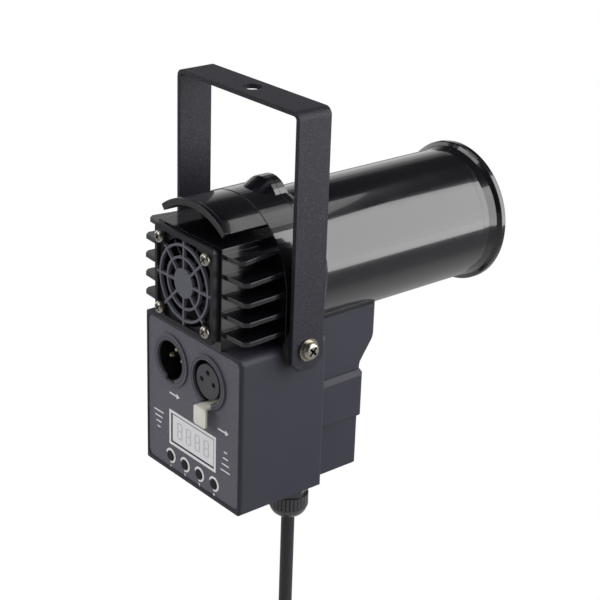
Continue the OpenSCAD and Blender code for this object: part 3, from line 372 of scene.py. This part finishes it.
def fan_screw():
    """Four screws at the fan's corners"""
    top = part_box("fan_screws")[1][1]
    return cross_screw("fan_screw",
                       lambda x, y, z: (y, abs(x) - FAN_SCREW_OUT, abs(z - FAN_Z) - FAN_SCREW_OUT),
                       rim=top - 0.0004, reach=0.0013)


def plain_moulding(name, colour, rough, coat=0.0):
    """Moulded plastic or rubber with a little sink and grain"""
    gain, lift = 1.35, 0.004
    lighter = tuple(min(1.0, channel * gain + lift) for channel in colour)
    f = Finish(name, colour, rough, coat=coat)
    grain = f.noise(scale=1800, rough=0.6)
    cloud = f.noise(scale=120)
    return f.dress(colour=f.blend(cloud, colour, lighter),
                   rough=rough + 0.1 * cloud,
                   normal=f.relief(grain, depth=0.00004, strength=0.5, base=f.rounded(0.0002)))


def brass(name, low, high):
    """Turned brass or a gold wash, its marks a little paler"""
    f = Finish(name, colour=low, rough=0.28, metal=1.0)
    marks = f.noise(scale=1200, rough=0.6)
    return f.dress(colour=f.blend(marks, low, high), rough=0.2 + 0.18 * marks)


def solder_mask(name, lacquer, track):
    """Circuit board lacquer with tracks showing through"""
    waves_across, waves_up = 900, 760
    f = Finish(name, colour=lacquer, rough=0.3)
    x, _, z = f.axes()
    waves = (x * waves_across).maths("SINE") * (z * waves_up).maths("SINE")
    tracks = waves.step(0.55, 0.7)
    return f.dress(colour=f.blend(tracks, lacquer, track),
                   rough=0.24 + 0.2 * f.noise(scale=500),
                   normal=f.relief(tracks, depth=0.00003, strength=0.5))


def clear_lens():
    """Clear lens, very slightly wavy"""
    f = Finish("clear_lens", colour=(0.96, 0.98, 1.0), rough=0.02)
    f.set("Transmission Weight", 1.0)
    return f.dress(rough=0.01 + 0.03 * f.noise(scale=60),
                   normal=f.relief(f.noise(scale=90), depth=0.00001, strength=0.3))


def phosphor():
    """Yellow phosphor of the light chip, in fine grains"""
    yellow, ochre = (0.9, 0.74, 0.2), (0.72, 0.55, 0.12)
    f = Finish("phosphor", colour=(0.85, 0.68, 0.16), rough=0.5)
    return f.dress(colour=f.blend(f.cells(scale=1500), yellow, ochre),
                   rough=0.4 + 0.2 * f.noise(scale=900))


def window_film():
    """Grey display film, a little cloudy"""
    grey, pale_grey = (0.86, 0.86, 0.89), (0.98, 0.98, 1.0)
    f = Finish("window_film", colour=(0.6, 0.6, 0.63), rough=0.3)
    cloud = f.noise(scale=70, detail=3, rough=0.6)
    return f.dress(colour=f.blend(cloud, grey, pale_grey), rough=0.16 + 0.1 * cloud)


def faint_segment():
    """Unlit segments of the display's digits"""
    low, high = (0.58, 0.58, 0.61), (0.68, 0.68, 0.71)
    f = Finish("faint_segment", colour=(0.62, 0.62, 0.65), rough=0.3)
    return f.dress(colour=f.blend(f.noise(scale=300), low, high))


def cable_jacket():
    """Smooth rubbery cable jacket with faint lengthwise drag lines"""
    black, worn = (0.018, 0.018, 0.023), (0.034, 0.034, 0.041)
    f = Finish("cable_jacket", colour=(0.008, 0.008, 0.01), rough=0.34)
    cloud = f.noise(scale=160, detail=3, rough=0.6)
    drag = f.noise(scale=900, stretch=(1.0, 1.0, 0.08))
    return f.dress(colour=f.blend(cloud, black, worn),
                   rough=0.26 + 0.2 * cloud,
                   normal=f.relief(drag, depth=0.00005, strength=0.35))


def white_ink():
    """Printed white ink, slightly worn"""
    worn, white = (0.75, 0.75, 0.77), (0.97, 0.97, 0.98)
    f = Finish("white_ink", colour=(0.72, 0.72, 0.74), rough=0.5)
    wear = f.noise(scale=2500, rough=0.6)
    return f.dress(colour=f.blend(wear.step(0.35, 0.5), worn, white), rough=0.45 + 0.15 * wear)


# One finish for each material slot of the record
finishes = {
    "powder_coat": powder_coat(),
    "housing_plastic": gloss_housing(),
    "satin_plastic": satin_box(),
    "panel_plastic": panel_face(),
    "nickel": nickel(),
    "brass": brass("turned_brass", (0.66, 0.46, 0.18), (0.82, 0.64, 0.32)),
    "black_rubber": plain_moulding("black_rubber", (0.02, 0.02, 0.021), 0.62),
    "cord_rubber": cable_jacket(),
    "dark_plastic": plain_moulding("dark_moulding", (0.012, 0.012, 0.013), 0.34),
    "grey_plastic": plain_moulding("grey_moulding", (0.06, 0.06, 0.068), 0.42),
    "ivory_plastic": plain_moulding("ivory_moulding", (0.78, 0.74, 0.65), 0.3, coat=0.3),
    "gloss_plastic": plain_moulding("gloss_moulding", (0.007, 0.007, 0.008), 0.14, coat=0.6),
    "window_plastic": window_film(),
    "board": solder_mask("green_board", (0.02, 0.12, 0.05), (0.05, 0.22, 0.1)),
    "white_board": solder_mask("white_board", (0.8, 0.8, 0.78), (0.68, 0.68, 0.66)),
    "phosphor": phosphor(),
    "lens_glass": clear_lens(),
}
ink = white_ink()


def dress_nodes():
    """Gives each solid its slot's finish, or one of its own where the photo shows more"""
    socket = socket_moulding()
    gland = plain_moulding("gland_moulding", (0.034, 0.034, 0.038), 0.14, coat=1.0)
    key_rubber = plain_moulding("key_rubber", (0.008, 0.008, 0.009), 0.6)
    own_finish = {
        "fan_grille": fan_guard(),
        "fan_screws": fan_screw(),
        "pivot_screws": pivot_screw(),
        "socket_in_shell": socket,
        "socket_out_shell": socket,
        "socket_in_pins": brass("pale_gold", (0.86, 0.74, 0.5), (0.95, 0.86, 0.66)),
        "gland_nut": gland,
        "gland_body": gland,
    }
    own_finish.update({"key_%d" % number: key_rubber for number in (1, 2, 3, 4)})
    slot_of = {part["node"]: part["material_slot"] for part in frame["record"]["subparts"]}
    for name, node in nodes.items():
        node.data.materials.clear()
        node.data.materials.append(own_finish.get(name) or finishes[slot_of[name]])


dress_nodes()


# ---- working by hand ------------------------------------------------------------------------


def deselect():
    bpy.ops.object.select_all(action="DESELECT")


def pick(piece):
    """Makes a piece the only one selected, and the active one"""
    deselect()
    piece.select_set(True)
    bpy.context.view_layer.objects.active = piece


def settle(piece, body, slot, material=None):
    """Bakes a piece's place into its mesh, gives it its finish and lets it ride on a body"""
    pick(piece)
    bpy.ops.object.transform_apply(location=True, rotation=True, scale=True)
    piece.data.materials.clear()
    piece.data.materials.append(material or finishes[slot])
    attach(piece, body)
    deselect()


def block(sizes, centre):
    """Plain block, the start of a piece"""
    deselect()
    bpy.ops.mesh.primitive_cube_add(size=1, location=centre)
    piece = bpy.context.object
    piece.scale = sizes
    bpy.ops.object.transform_apply(location=True, rotation=True, scale=True)
    return piece


def bevel_edges(offset, segments):
    """Rounds every edge of the active piece"""
    bpy.ops.object.mode_set(mode="EDIT")
    bpy.ops.mesh.select_all(action="SELECT")
    bpy.ops.mesh.bevel(offset=offset, segments=segments, affect="EDGES")
    bpy.ops.object.mode_set(mode="OBJECT")


def delete_faces(piece, unwanted):
    """Deletes the faces of the active piece for which unwanted(face) holds"""
    for face in piece.data.polygons:
        face.select = unwanted(face)
    bpy.ops.object.mode_set(mode="EDIT")
    bpy.ops.mesh.select_mode(type="FACE")
    bpy.ops.mesh.delete(type="FACE")
    bpy.ops.mesh.select_mode(type="VERT")
    bpy.ops.object.mode_set(mode="OBJECT")


def apply_modifier(piece, kind, **settings):
    """Adds a modifier with these settings and applies it"""
    pick(piece)
    modifier = piece.modifiers.new(kind.lower(), kind)
    for key, setting in settings.items():
        setattr(modifier, key, setting)
    bpy.ops.object.modifier_apply(modifier=modifier.name)


def copy_of(piece, shift):
    """Copy with its own mesh, shifted in metres"""
    twin = piece.copy()
    twin.data = piece.data.copy()
    twin.location = piece.location + Vector(shift)
    bpy.context.scene.collection.objects.link(twin)
    return twin


def joined(name, pieces):
    """Joins pieces into the first of them, which gets the name"""
    deselect()
    for piece in pieces:
        piece.select_set(True)
    bpy.context.view_layer.objects.active = pieces[0]
    bpy.ops.object.join()
    pieces[0].name = name
    return pieces[0]


# ---- the mains cable ------------------------------------------------------------------------

# The route that the solids have too, in millimetres: down from the gland, round the coil and
# into the plug. Turns are counted in degrees from the coil's top, and advance along X.
CABLE_EXIT = (-24.0, -6.0, -190.3)
STRAIGHT_DROPS = (0, 16, 32, 48, 66, 84)
CURVING_OUT = ((1, 90.7), (4, 97.2), (7.8, 101.5), (11.75, 104.3))  # each out along Y and down
LEAD_IN = 6  # straight stretch before the coil
COIL_R = 33  # to the middle of the cable
COIL_TURNS = 5
COIL_PITCH = 7
COIL_START, COIL_END = 30.8, 90 + 360 * COIL_TURNS
POINTS_A_TURN = 24
DROPS_TO_PLUG = (6, 18, 30)
CABLE_R = 0.003  # metres

TIE_TURN = 322  # where on a turn the strap sits, in degrees
TURNS_BEFORE_TIE = 2


def coil_place(degrees):
    """From the coil's middle to the cable, at so many degrees along its turns"""
    turn = math.radians(degrees)
    return Vector((COIL_PITCH * (degrees - COIL_START) / 360,
                   COIL_R * math.sin(turn), COIL_R * math.cos(turn)))


def cable_route():
    """The route's points and the middle of the coil's first turn, in metres"""
    x, y, z = CABLE_EXIT
    points = [Vector((x, y, z - drop)) for drop in STRAIGHT_DROPS]
    points += [Vector((x, y + out, z - drop)) for out, drop in CURVING_OUT]
    start = math.radians(COIL_START)
    ahead = Vector((0, math.cos(start), -math.sin(start)))
    middle = points[-1] + LEAD_IN * ahead - coil_place(COIL_START)
    sweep = COIL_END - COIL_START
    steps = math.ceil(sweep * POINTS_A_TURN / 360)
    points += [middle + coil_place(COIL_START + sweep * i / steps) for i in range(steps + 1)]
    last = points[-1]
    points += [last - Vector((0, 0, drop)) for drop in DROPS_TO_PLUG]
    return [point / 1000 for point in points], middle / 1000


route, coil_middle = cable_route()
route_length = sum((b - a).length for a, b in zip(route, route[1:]))


def mains_cable():
    """Round cable along the route, with its strap and its plug"""
    data = bpy.data.curves.new("mains_cable", "CURVE")
    data.dimensions = "3D"
    spline = data.splines.new("POLY")
    spline.points.add(len(route) - 1)
    for point, place in zip(spline.points, route):
        point.co = (*place, 1.0)
    data.bevel_depth = CABLE_R
    data.bevel_resolution = 5
    data.use_fill_caps = True
    data.materials.append(finishes["cord_rubber"])
    cable = bpy.data.objects.new("mains_cable", data)
    bpy.context.scene.collection.objects.link(cable)
    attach(cable, "head")
    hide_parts("power_cord", "cord_coil", "cord_tail")
    coil_tie()
    mains_plug()


def coil_tie():
    """Rubber strap snug round the five turns, with its buckle and a loose tongue.

    It is made lying flat, X across the turns, Y along them and Z outwards, then put in place."""
    strap_size, strap_wall, strap_corner = (0.0346, 0.0075, 0.0064), 0.0012, 0.0028
    buckle_size, buckle_at = (0.007, 0.0095, 0.0022), (0.006, 0, 0.0052)
    tongue_size, tongue_at = (0.014, 0.0068, 0.0009), (-0.0035, 0, 0.00485)

    strap = block(strap_size, centre=(0, 0, 0))
    delete_faces(strap, lambda face: abs(face.normal.y) > 0.9)  # its two open ends
    apply_modifier(strap, "BEVEL", width=strap_corner, segments=5)
    apply_modifier(strap, "SOLIDIFY", thickness=strap_wall, offset=1)
    buckle = block(buckle_size, buckle_at)
    bevel_edges(offset=0.0006, segments=3)
    tongue = block(tongue_size, tongue_at)
    bevel_edges(offset=0.0003, segments=3)
    tie = joined("coil_tie", [strap, buckle, tongue])

    middle_of_turns = coil_place(TIE_TURN + 360 * TURNS_BEFORE_TIE).x / 1000
    to_coil = Matrix.Translation(coil_middle + Vector((middle_of_turns, 0, 0)))
    round_coil = Matrix.Rotation(math.radians(360 - TIE_TURN), 4, "X")
    tie.matrix_world = to_coil @ round_coil @ Matrix.Translation((0, 0, COIL_R / 1000))
    settle(tie, "head", "black_rubber")
    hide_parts("cord_tie")
    return tie


def mains_plug():
    """Flat two-pin plug with rounded shoulders, a ribbed grip and a ringed cable neck"""
    neck_length, shoulder_length = 0.018, 0.012
    narrow_w, narrow_t = 0.42, 0.92  # what the shoulder leaves of the width and the thickness
    top_band = 0.001  # finds the corners at the neck
    corner_r, smooth_below, round_above = 0.0032, math.radians(35), math.radians(20)
    rib_count, rib_pitch, first_rib_up, rib_proud = 5, 0.0032, 0.006, 0.0001
    rib_deep, rib_high, rib_share = 0.0009, 0.0014, 1.3  # the share is of half the plug's width
    ring_count, ring_pitch, first_ring_up, ring_high = 5, 0.0034, 0.0011, 0.0026
    wide_ring, slim_ring = 0.0064, 0.004
    wide_core, slim_core = 0.0055, 0.0036

    lo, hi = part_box("plug_body")
    x, y, top = route[-1]
    neck_z = top - neck_length
    half_w, half_t = (hi[0] - lo[0]) / 2, (hi[1] - lo[1]) / 2

    body = block((2 * half_w, 2 * half_t, neck_z - lo[2]), centre=(x, y, (neck_z + lo[2]) / 2))
    bpy.ops.object.mode_set(mode="EDIT")
    bpy.ops.mesh.select_all(action="SELECT")
    bpy.ops.mesh.bisect(plane_co=(0, 0, neck_z - shoulder_length), plane_no=(0, 0, 1))
    bpy.ops.object.mode_set(mode="OBJECT")
    for vertex in body.data.vertices:
        if vertex.co.z > neck_z - top_band:
            vertex.co.x = x + (vertex.co.x - x) * narrow_w
            vertex.co.y = y + (vertex.co.y - y) * narrow_t
    apply_modifier(body, "BEVEL", width=corner_r, segments=4, limit_method="ANGLE",
                   angle_limit=round_above)
    bpy.ops.object.shade_smooth_by_angle(angle=smooth_below)

    rib_y = half_t + rib_proud
    rib = block((half_w * rib_share, rib_deep, rib_high),
                centre=(x, y - rib_y, lo[2] + first_rib_up))
    bevel_edges(offset=0.0003, segments=2)
    ribs = [rib] + [copy_of(rib, (0, 0, rib_pitch * i)) for i in range(1, rib_count)]
    ribs += [copy_of(front_rib, (0, 2 * rib_y, 0)) for front_rib in ribs]

    rings = []
    for i in range(ring_count):
        deselect()
        radius = wide_ring + (slim_ring - wide_ring) * i / (ring_count - 1)
        bpy.ops.mesh.primitive_cylinder_add(
            vertices=40, radius=radius, depth=ring_high,
            location=(x, y, neck_z + first_ring_up + ring_pitch * i))
        rings.append(bpy.context.object)
        bevel_edges(offset=0.0005, segments=2)
    deselect()
    bpy.ops.mesh.primitive_cone_add(vertices=40, radius1=wide_core, radius2=slim_core,
                                    depth=neck_length, location=(x, y, neck_z + neck_length / 2))
    core = bpy.context.object
    bevel_edges(offset=0.0003, segments=1)

    plug = joined("mains_plug", [body, *ribs, *rings, core])
    settle(plug, "head", "gloss_plastic")
    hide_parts("plug_body")
    return plug


# ---- stage ----------------------------------------------------------------------------------

WHITE = (1, 1, 1, 1)

# Glossy surfaces mirror a dark room that brightens towards its far side, past the lens
BRIGHT_WAY = (0.70, -0.60, -0.38)
BRIGHT_FROM, BRIGHT_TO = 0.6, 1.0  # cosines to that way
MIRRORED_DARK, MIRRORED_BRIGHT = 0.03, 1.0
ROOM_LIGHT = 0.55  # on everything that isn't glossy

FLOOR_Z, FLOOR_SIZE = -0.6, 12
FLOOR_GREY = (0.4, 0.4, 0.4)

# Name, place, what it is aimed at, width, height and radiance
SOFTBOXES = (
    ("side_softbox", (-0.56, -0.48, 0.25), (0, -0.06, 0.25), 0.8, 1.0, 3.2),
    ("hood_softbox", (-0.1, -0.57, 0.75), (0, 0.02, -0.05), 0.42, 0.2, 1.3),
    ("panel_softbox", (0.55, 0.95, 0.35), (0, 0, -0.1), 0.6, 0.6, 3.0),
    ("far_fill", (0.9, 0.15, 0.05), (0, 0, -0.1), 0.7, 0.7, 1.2),
    ("top_strip", (0.25, 0.1, 0.9), (0, 0, -0.1), 0.25, 0.7, 1.0),
)


def room():
    """World that is white to the camera and soft light to the object"""
    world = bpy.data.worlds.new("studio")
    bpy.context.scene.world = world
    world.use_nodes = True
    walls = Graph(world.node_tree)
    way = walls.add("ShaderNodeTexCoord", {}, {}, "Generated")
    along = walls.add("ShaderNodeVectorMath", {"operation": "DOT_PRODUCT"},
                      {0: way, 1: BRIGHT_WAY}, "Value")
    mirrored = walls.add("ShaderNodeMapRange", {},
                         {"Value": along, "From Min": BRIGHT_FROM, "From Max": BRIGHT_TO,
                          "To Min": MIRRORED_DARK, "To Max": MIRRORED_BRIGHT})
    level = walls.mix(walls.ray("Glossy"), ROOM_LIGHT, mirrored)
    backdrop = walls.tree.nodes["Background"]
    walls.feed(backdrop.inputs["Color"], WHITE)
    walls.feed(backdrop.inputs["Strength"], walls.mix(walls.seen(), level, 1.0))


def pale_floor():
    """Floor that is white to the camera and a plain matt grey to the object"""
    deselect()
    bpy.ops.mesh.primitive_plane_add(size=FLOOR_SIZE, location=(0, 0, FLOOR_Z))
    floor = bpy.context.object
    floor.name = "floor"
    f = Finish("pale_floor", colour=FLOOR_GREY, rough=0.9)
    f.cover(f.seen(), f.add("ShaderNodeEmission", {}, {"Color": WHITE, "Strength": 1.0}))
    floor.data.materials.append(f.material)


def softbox(name, centre, target, width, height, radiance):
    """Rectangular lamp, its power worked out from its radiance and its size"""
    data = bpy.data.lights.new(name, "AREA")
    data.shape = "RECTANGLE"
    data.size = width
    data.size_y = height
    data.energy = radiance * math.pi * width * height
    lamp = bpy.data.objects.new(name, data)
    bpy.context.scene.collection.objects.link(lamp)
    aim = (Vector(target) - Vector(centre)).to_track_quat("-Z", "Y")
    lamp.matrix_world = Matrix.Translation(centre) @ aim.to_matrix().to_4x4()
    lamp.visible_camera = False


def studio():
    bpy.context.scene.view_settings.view_transform = "Standard"
    room()
    pale_floor()
    for row in SOFTBOXES:
        softbox(*row)


studio()


# ---- printed marks --------------------------------------------------------------------------

# Millimetres from the middle of the tilt axis, apart from y and thickness, which are in metres
MARK_Y = PANEL_Y + 0.00002
MARK_THICK = 0.00008

KEY_COUNT, KEY_PITCH = 4, 10.5
CRESCENT_Z = -65.1
CRESCENT_OUTER, CRESCENT_INNER = 3.5, 2.6
CRESCENT_OPEN = (-80, 12)  # degrees from +X towards +Z
CRESCENT_HOLE_SHIFT = (0.3, -0.25)
DIGIT_Z, DIGIT_SIZE = -70.5, 2.7

ARROW_LENGTH, ARROW_STROKE = 5.0, 0.7
ARROW_TIP_R, ARROW_TIP_AHEAD = 1.5, 3.4
ARROW_PLACES = ((14.2, -34.2), (-20.6, -37.2))  # middle of each shaft

SCALE_BARS, SCALE_TOP_Z, SCALE_STROKE = 4, -46.5, 0.6
# Middle, step from bar to bar, first width, and how much wider each next bar is
SCALES = ((-23.6, 3.0, 2.2, 1.4), (24.8, 2.6, 7.0, -1.6))

WINDOW = (-15.6, 15.6, -57.95, -43.55)  # lowest and highest x, then lowest and highest z
WINDOW_LINE, WINDOW_GAP = 1.3, 0.65
SEGMENT_DIGITS, SEGMENT_PITCH = 4, 6.4
SEGMENT_WIDE, SEGMENT_TALL, SEGMENT_STROKE = 3.1, 7.4, 0.55
SEGMENT_END_GAP, SEGMENT_SIDE_GAP = 0.3, 0.7  # cut off the flat segments and the upright ones

SOCKET_Z = -18.1
# Middle, face, and the inner radii of the lines on each socket
SOCKET_LINES = ((15.4, 0.0300, (10.4, 9.15)), (-11.2, 0.0302, (10.9,)))
LINE_WIDE, LINE_PROUD = 0.22, 0.00002
DISPLAY_PROUD = 0.00005


def rear_place(x, y, z):
    """Place in metres of a mark given as above"""
    return Vector((x / 1000, y, z / 1000 + PIVOT_Z))


def bearing(way):
    """Degrees from +X towards +Z"""
    return math.degrees(math.atan2(way.z, way.x))


def thicken(piece):
    apply_modifier(piece, "SOLIDIFY", thickness=MARK_THICK, offset=0)


def ring_mark(x, z, outer, inner, y=MARK_Y, open_sector=None, shift=(0, 0)):
    """Flat ring: a filled circle, inset and opened in the middle.

    An open sector and a shift of its hole make it a crescent."""
    middle = rear_place(x, y, z)
    deselect()
    bpy.ops.mesh.primitive_circle_add(vertices=48, radius=outer / 1000, fill_type="NGON",
                                      location=middle, rotation=(math.radians(-90), 0, 0))
    ring = bpy.context.object
    bpy.ops.object.transform_apply(location=True, rotation=True, scale=True)
    bpy.ops.object.mode_set(mode="EDIT")
    bpy.ops.mesh.select_all(action="SELECT")
    bpy.ops.mesh.inset(thickness=(outer - inner) / 1000)
    bpy.ops.transform.translate(value=(shift[0] / 1000, 0, shift[1] / 1000))
    bpy.ops.mesh.delete(type="FACE")
    bpy.ops.object.mode_set(mode="OBJECT")
    if open_sector:
        low, high = open_sector
        delete_faces(ring, lambda face: low < bearing(face.center - middle) < high)
    thicken(ring)
    return ring


def bar_mark(x, z, width, height, y=MARK_Y):
    """Flat bar round its middle"""
    deselect()
    bpy.ops.mesh.primitive_plane_add(size=1, location=rear_place(x, y, z),
                                     rotation=(math.radians(-90), 0, 0))
    bar = bpy.context.object
    bar.scale = (width / 1000, height / 1000, 1)
    bpy.ops.object.transform_apply(location=False, rotation=False, scale=True)
    thicken(bar)
    return bar


def arrow_mark(x, z):
    """Arrow towards -X, which is right as seen from behind"""
    shaft = bar_mark(x, z, ARROW_LENGTH, ARROW_STROKE)
    deselect()
    bpy.ops.mesh.primitive_circle_add(vertices=3, radius=ARROW_TIP_R / 1000, fill_type="NGON",
                                      location=rear_place(x - ARROW_TIP_AHEAD, MARK_Y, z),
                                      rotation=(math.radians(-90), math.radians(90), 0))
    tip = bpy.context.object
    thicken(tip)
    return [shaft, tip]


def digit_mark(text, x, z):
    """Printed digit, a text made a mesh"""
    deselect()
    bpy.ops.object.text_add(location=rear_place(x, MARK_Y, z),
                            rotation=(math.radians(90), 0, math.radians(180)))
    letter = bpy.context.object.data
    letter.body = text
    letter.size = DIGIT_SIZE / 1000
    letter.align_x = "CENTER"
    letter.align_y = "CENTER"
    letter.extrude = MARK_THICK / 2
    letter.offset = 0.00005  # a bolder stroke
    letter.resolution_u = 3
    bpy.ops.object.convert(target="MESH")
    return bpy.context.object


def row_of(piece, count, pitch):
    """A piece and its copies, each a pitch further towards -X"""
    return [piece] + [copy_of(piece, (-pitch * i / 1000, 0, 0)) for i in range(1, count)]


def panel_marks():
    """A crescent and a digit at each key, an arrow at each socket and two scales of bars"""
    first_key = KEY_PITCH * (KEY_COUNT - 1) / 2
    crescent = ring_mark(first_key, CRESCENT_Z, CRESCENT_OUTER, CRESCENT_INNER,
                         open_sector=CRESCENT_OPEN, shift=CRESCENT_HOLE_SHIFT)
    marks = row_of(crescent, KEY_COUNT, KEY_PITCH)
    marks += [digit_mark(str(i + 1), first_key - KEY_PITCH * i, DIGIT_Z)
              for i in range(KEY_COUNT)]
    for x, z in ARROW_PLACES:
        marks += arrow_mark(x, z)
    for x, step, width, wider in SCALES:
        marks += [bar_mark(x, SCALE_TOP_Z - step * i, width + wider * i, SCALE_STROKE)
                  for i in range(SCALE_BARS)]
    settle(joined("panel_print", marks), "head", "ivory_plastic", ink)


def square_ring(name, x0, x1, z0, z1, edge, y=MARK_Y):
    """Four bars round a rectangle, outside it"""
    across, up = (x0 + x1) / 2, (z0 + z1) / 2
    bars = [bar_mark(across, z, x1 - x0 + 2 * edge, edge, y)
            for z in (z1 + edge / 2, z0 - edge / 2)]
    bars += [bar_mark(x, up, edge, z1 - z0, y) for x in (x0 - edge / 2, x1 + edge / 2)]
    return joined(name, bars)


def blank_digit(x, z, y):
    """The seven segments of a digit"""
    flat, upright = SEGMENT_WIDE - SEGMENT_END_GAP, SEGMENT_TALL / 2 - SEGMENT_SIDE_GAP
    segments = [bar_mark(x, z + up * SEGMENT_TALL / 2, flat, SEGMENT_STROKE, y)
                for up in (-1, 0, 1)]
    segments += [bar_mark(x + side * SEGMENT_WIDE / 2, z + half * SEGMENT_TALL / 4,
                          SEGMENT_STROKE, upright, y)
                 for side in (-1, 1) for half in (-1, 1)]
    return joined("digit", segments)


def display():
    """White line round the window, the dark gap inside it and the faint segments of four digits"""
    x0, x1, z0, z1 = WINDOW
    line = square_ring("display_frame", x0, x1, z0, z1, WINDOW_LINE)
    settle(line, "head", "ivory_plastic", ink)
    face_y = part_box("display_window")[1][1] + DISPLAY_PROUD
    gap = WINDOW_GAP
    inner = square_ring("display_gap", x0 + gap, x1 - gap, z0 + gap, z1 - gap, gap, face_y)
    settle(inner, "head", "dark_plastic")
    first_digit = SEGMENT_PITCH * (SEGMENT_DIGITS - 1) / 2
    digit = blank_digit(first_digit, (z0 + z1) / 2, face_y)
    digits = joined("display_segments", row_of(digit, SEGMENT_DIGITS, SEGMENT_PITCH))
    settle(digits, "head", "window_plastic", faint_segment())


def socket_groove_shade():
    """Painted shade: a fine dark line where each socket's face meets the panel, and at the lip of
    its mouth
    """
    groove_shade_rings = [ring_mark(x, SOCKET_Z, radius + LINE_WIDE, radius, face_y + LINE_PROUD)
               for x, face_y, radii in SOCKET_LINES for radius in radii]
    settle(joined("socket_groove_shade", groove_shade_rings), "head", "dark_plastic")


mains_cable()
panel_marks()
display()
socket_groove_shade()
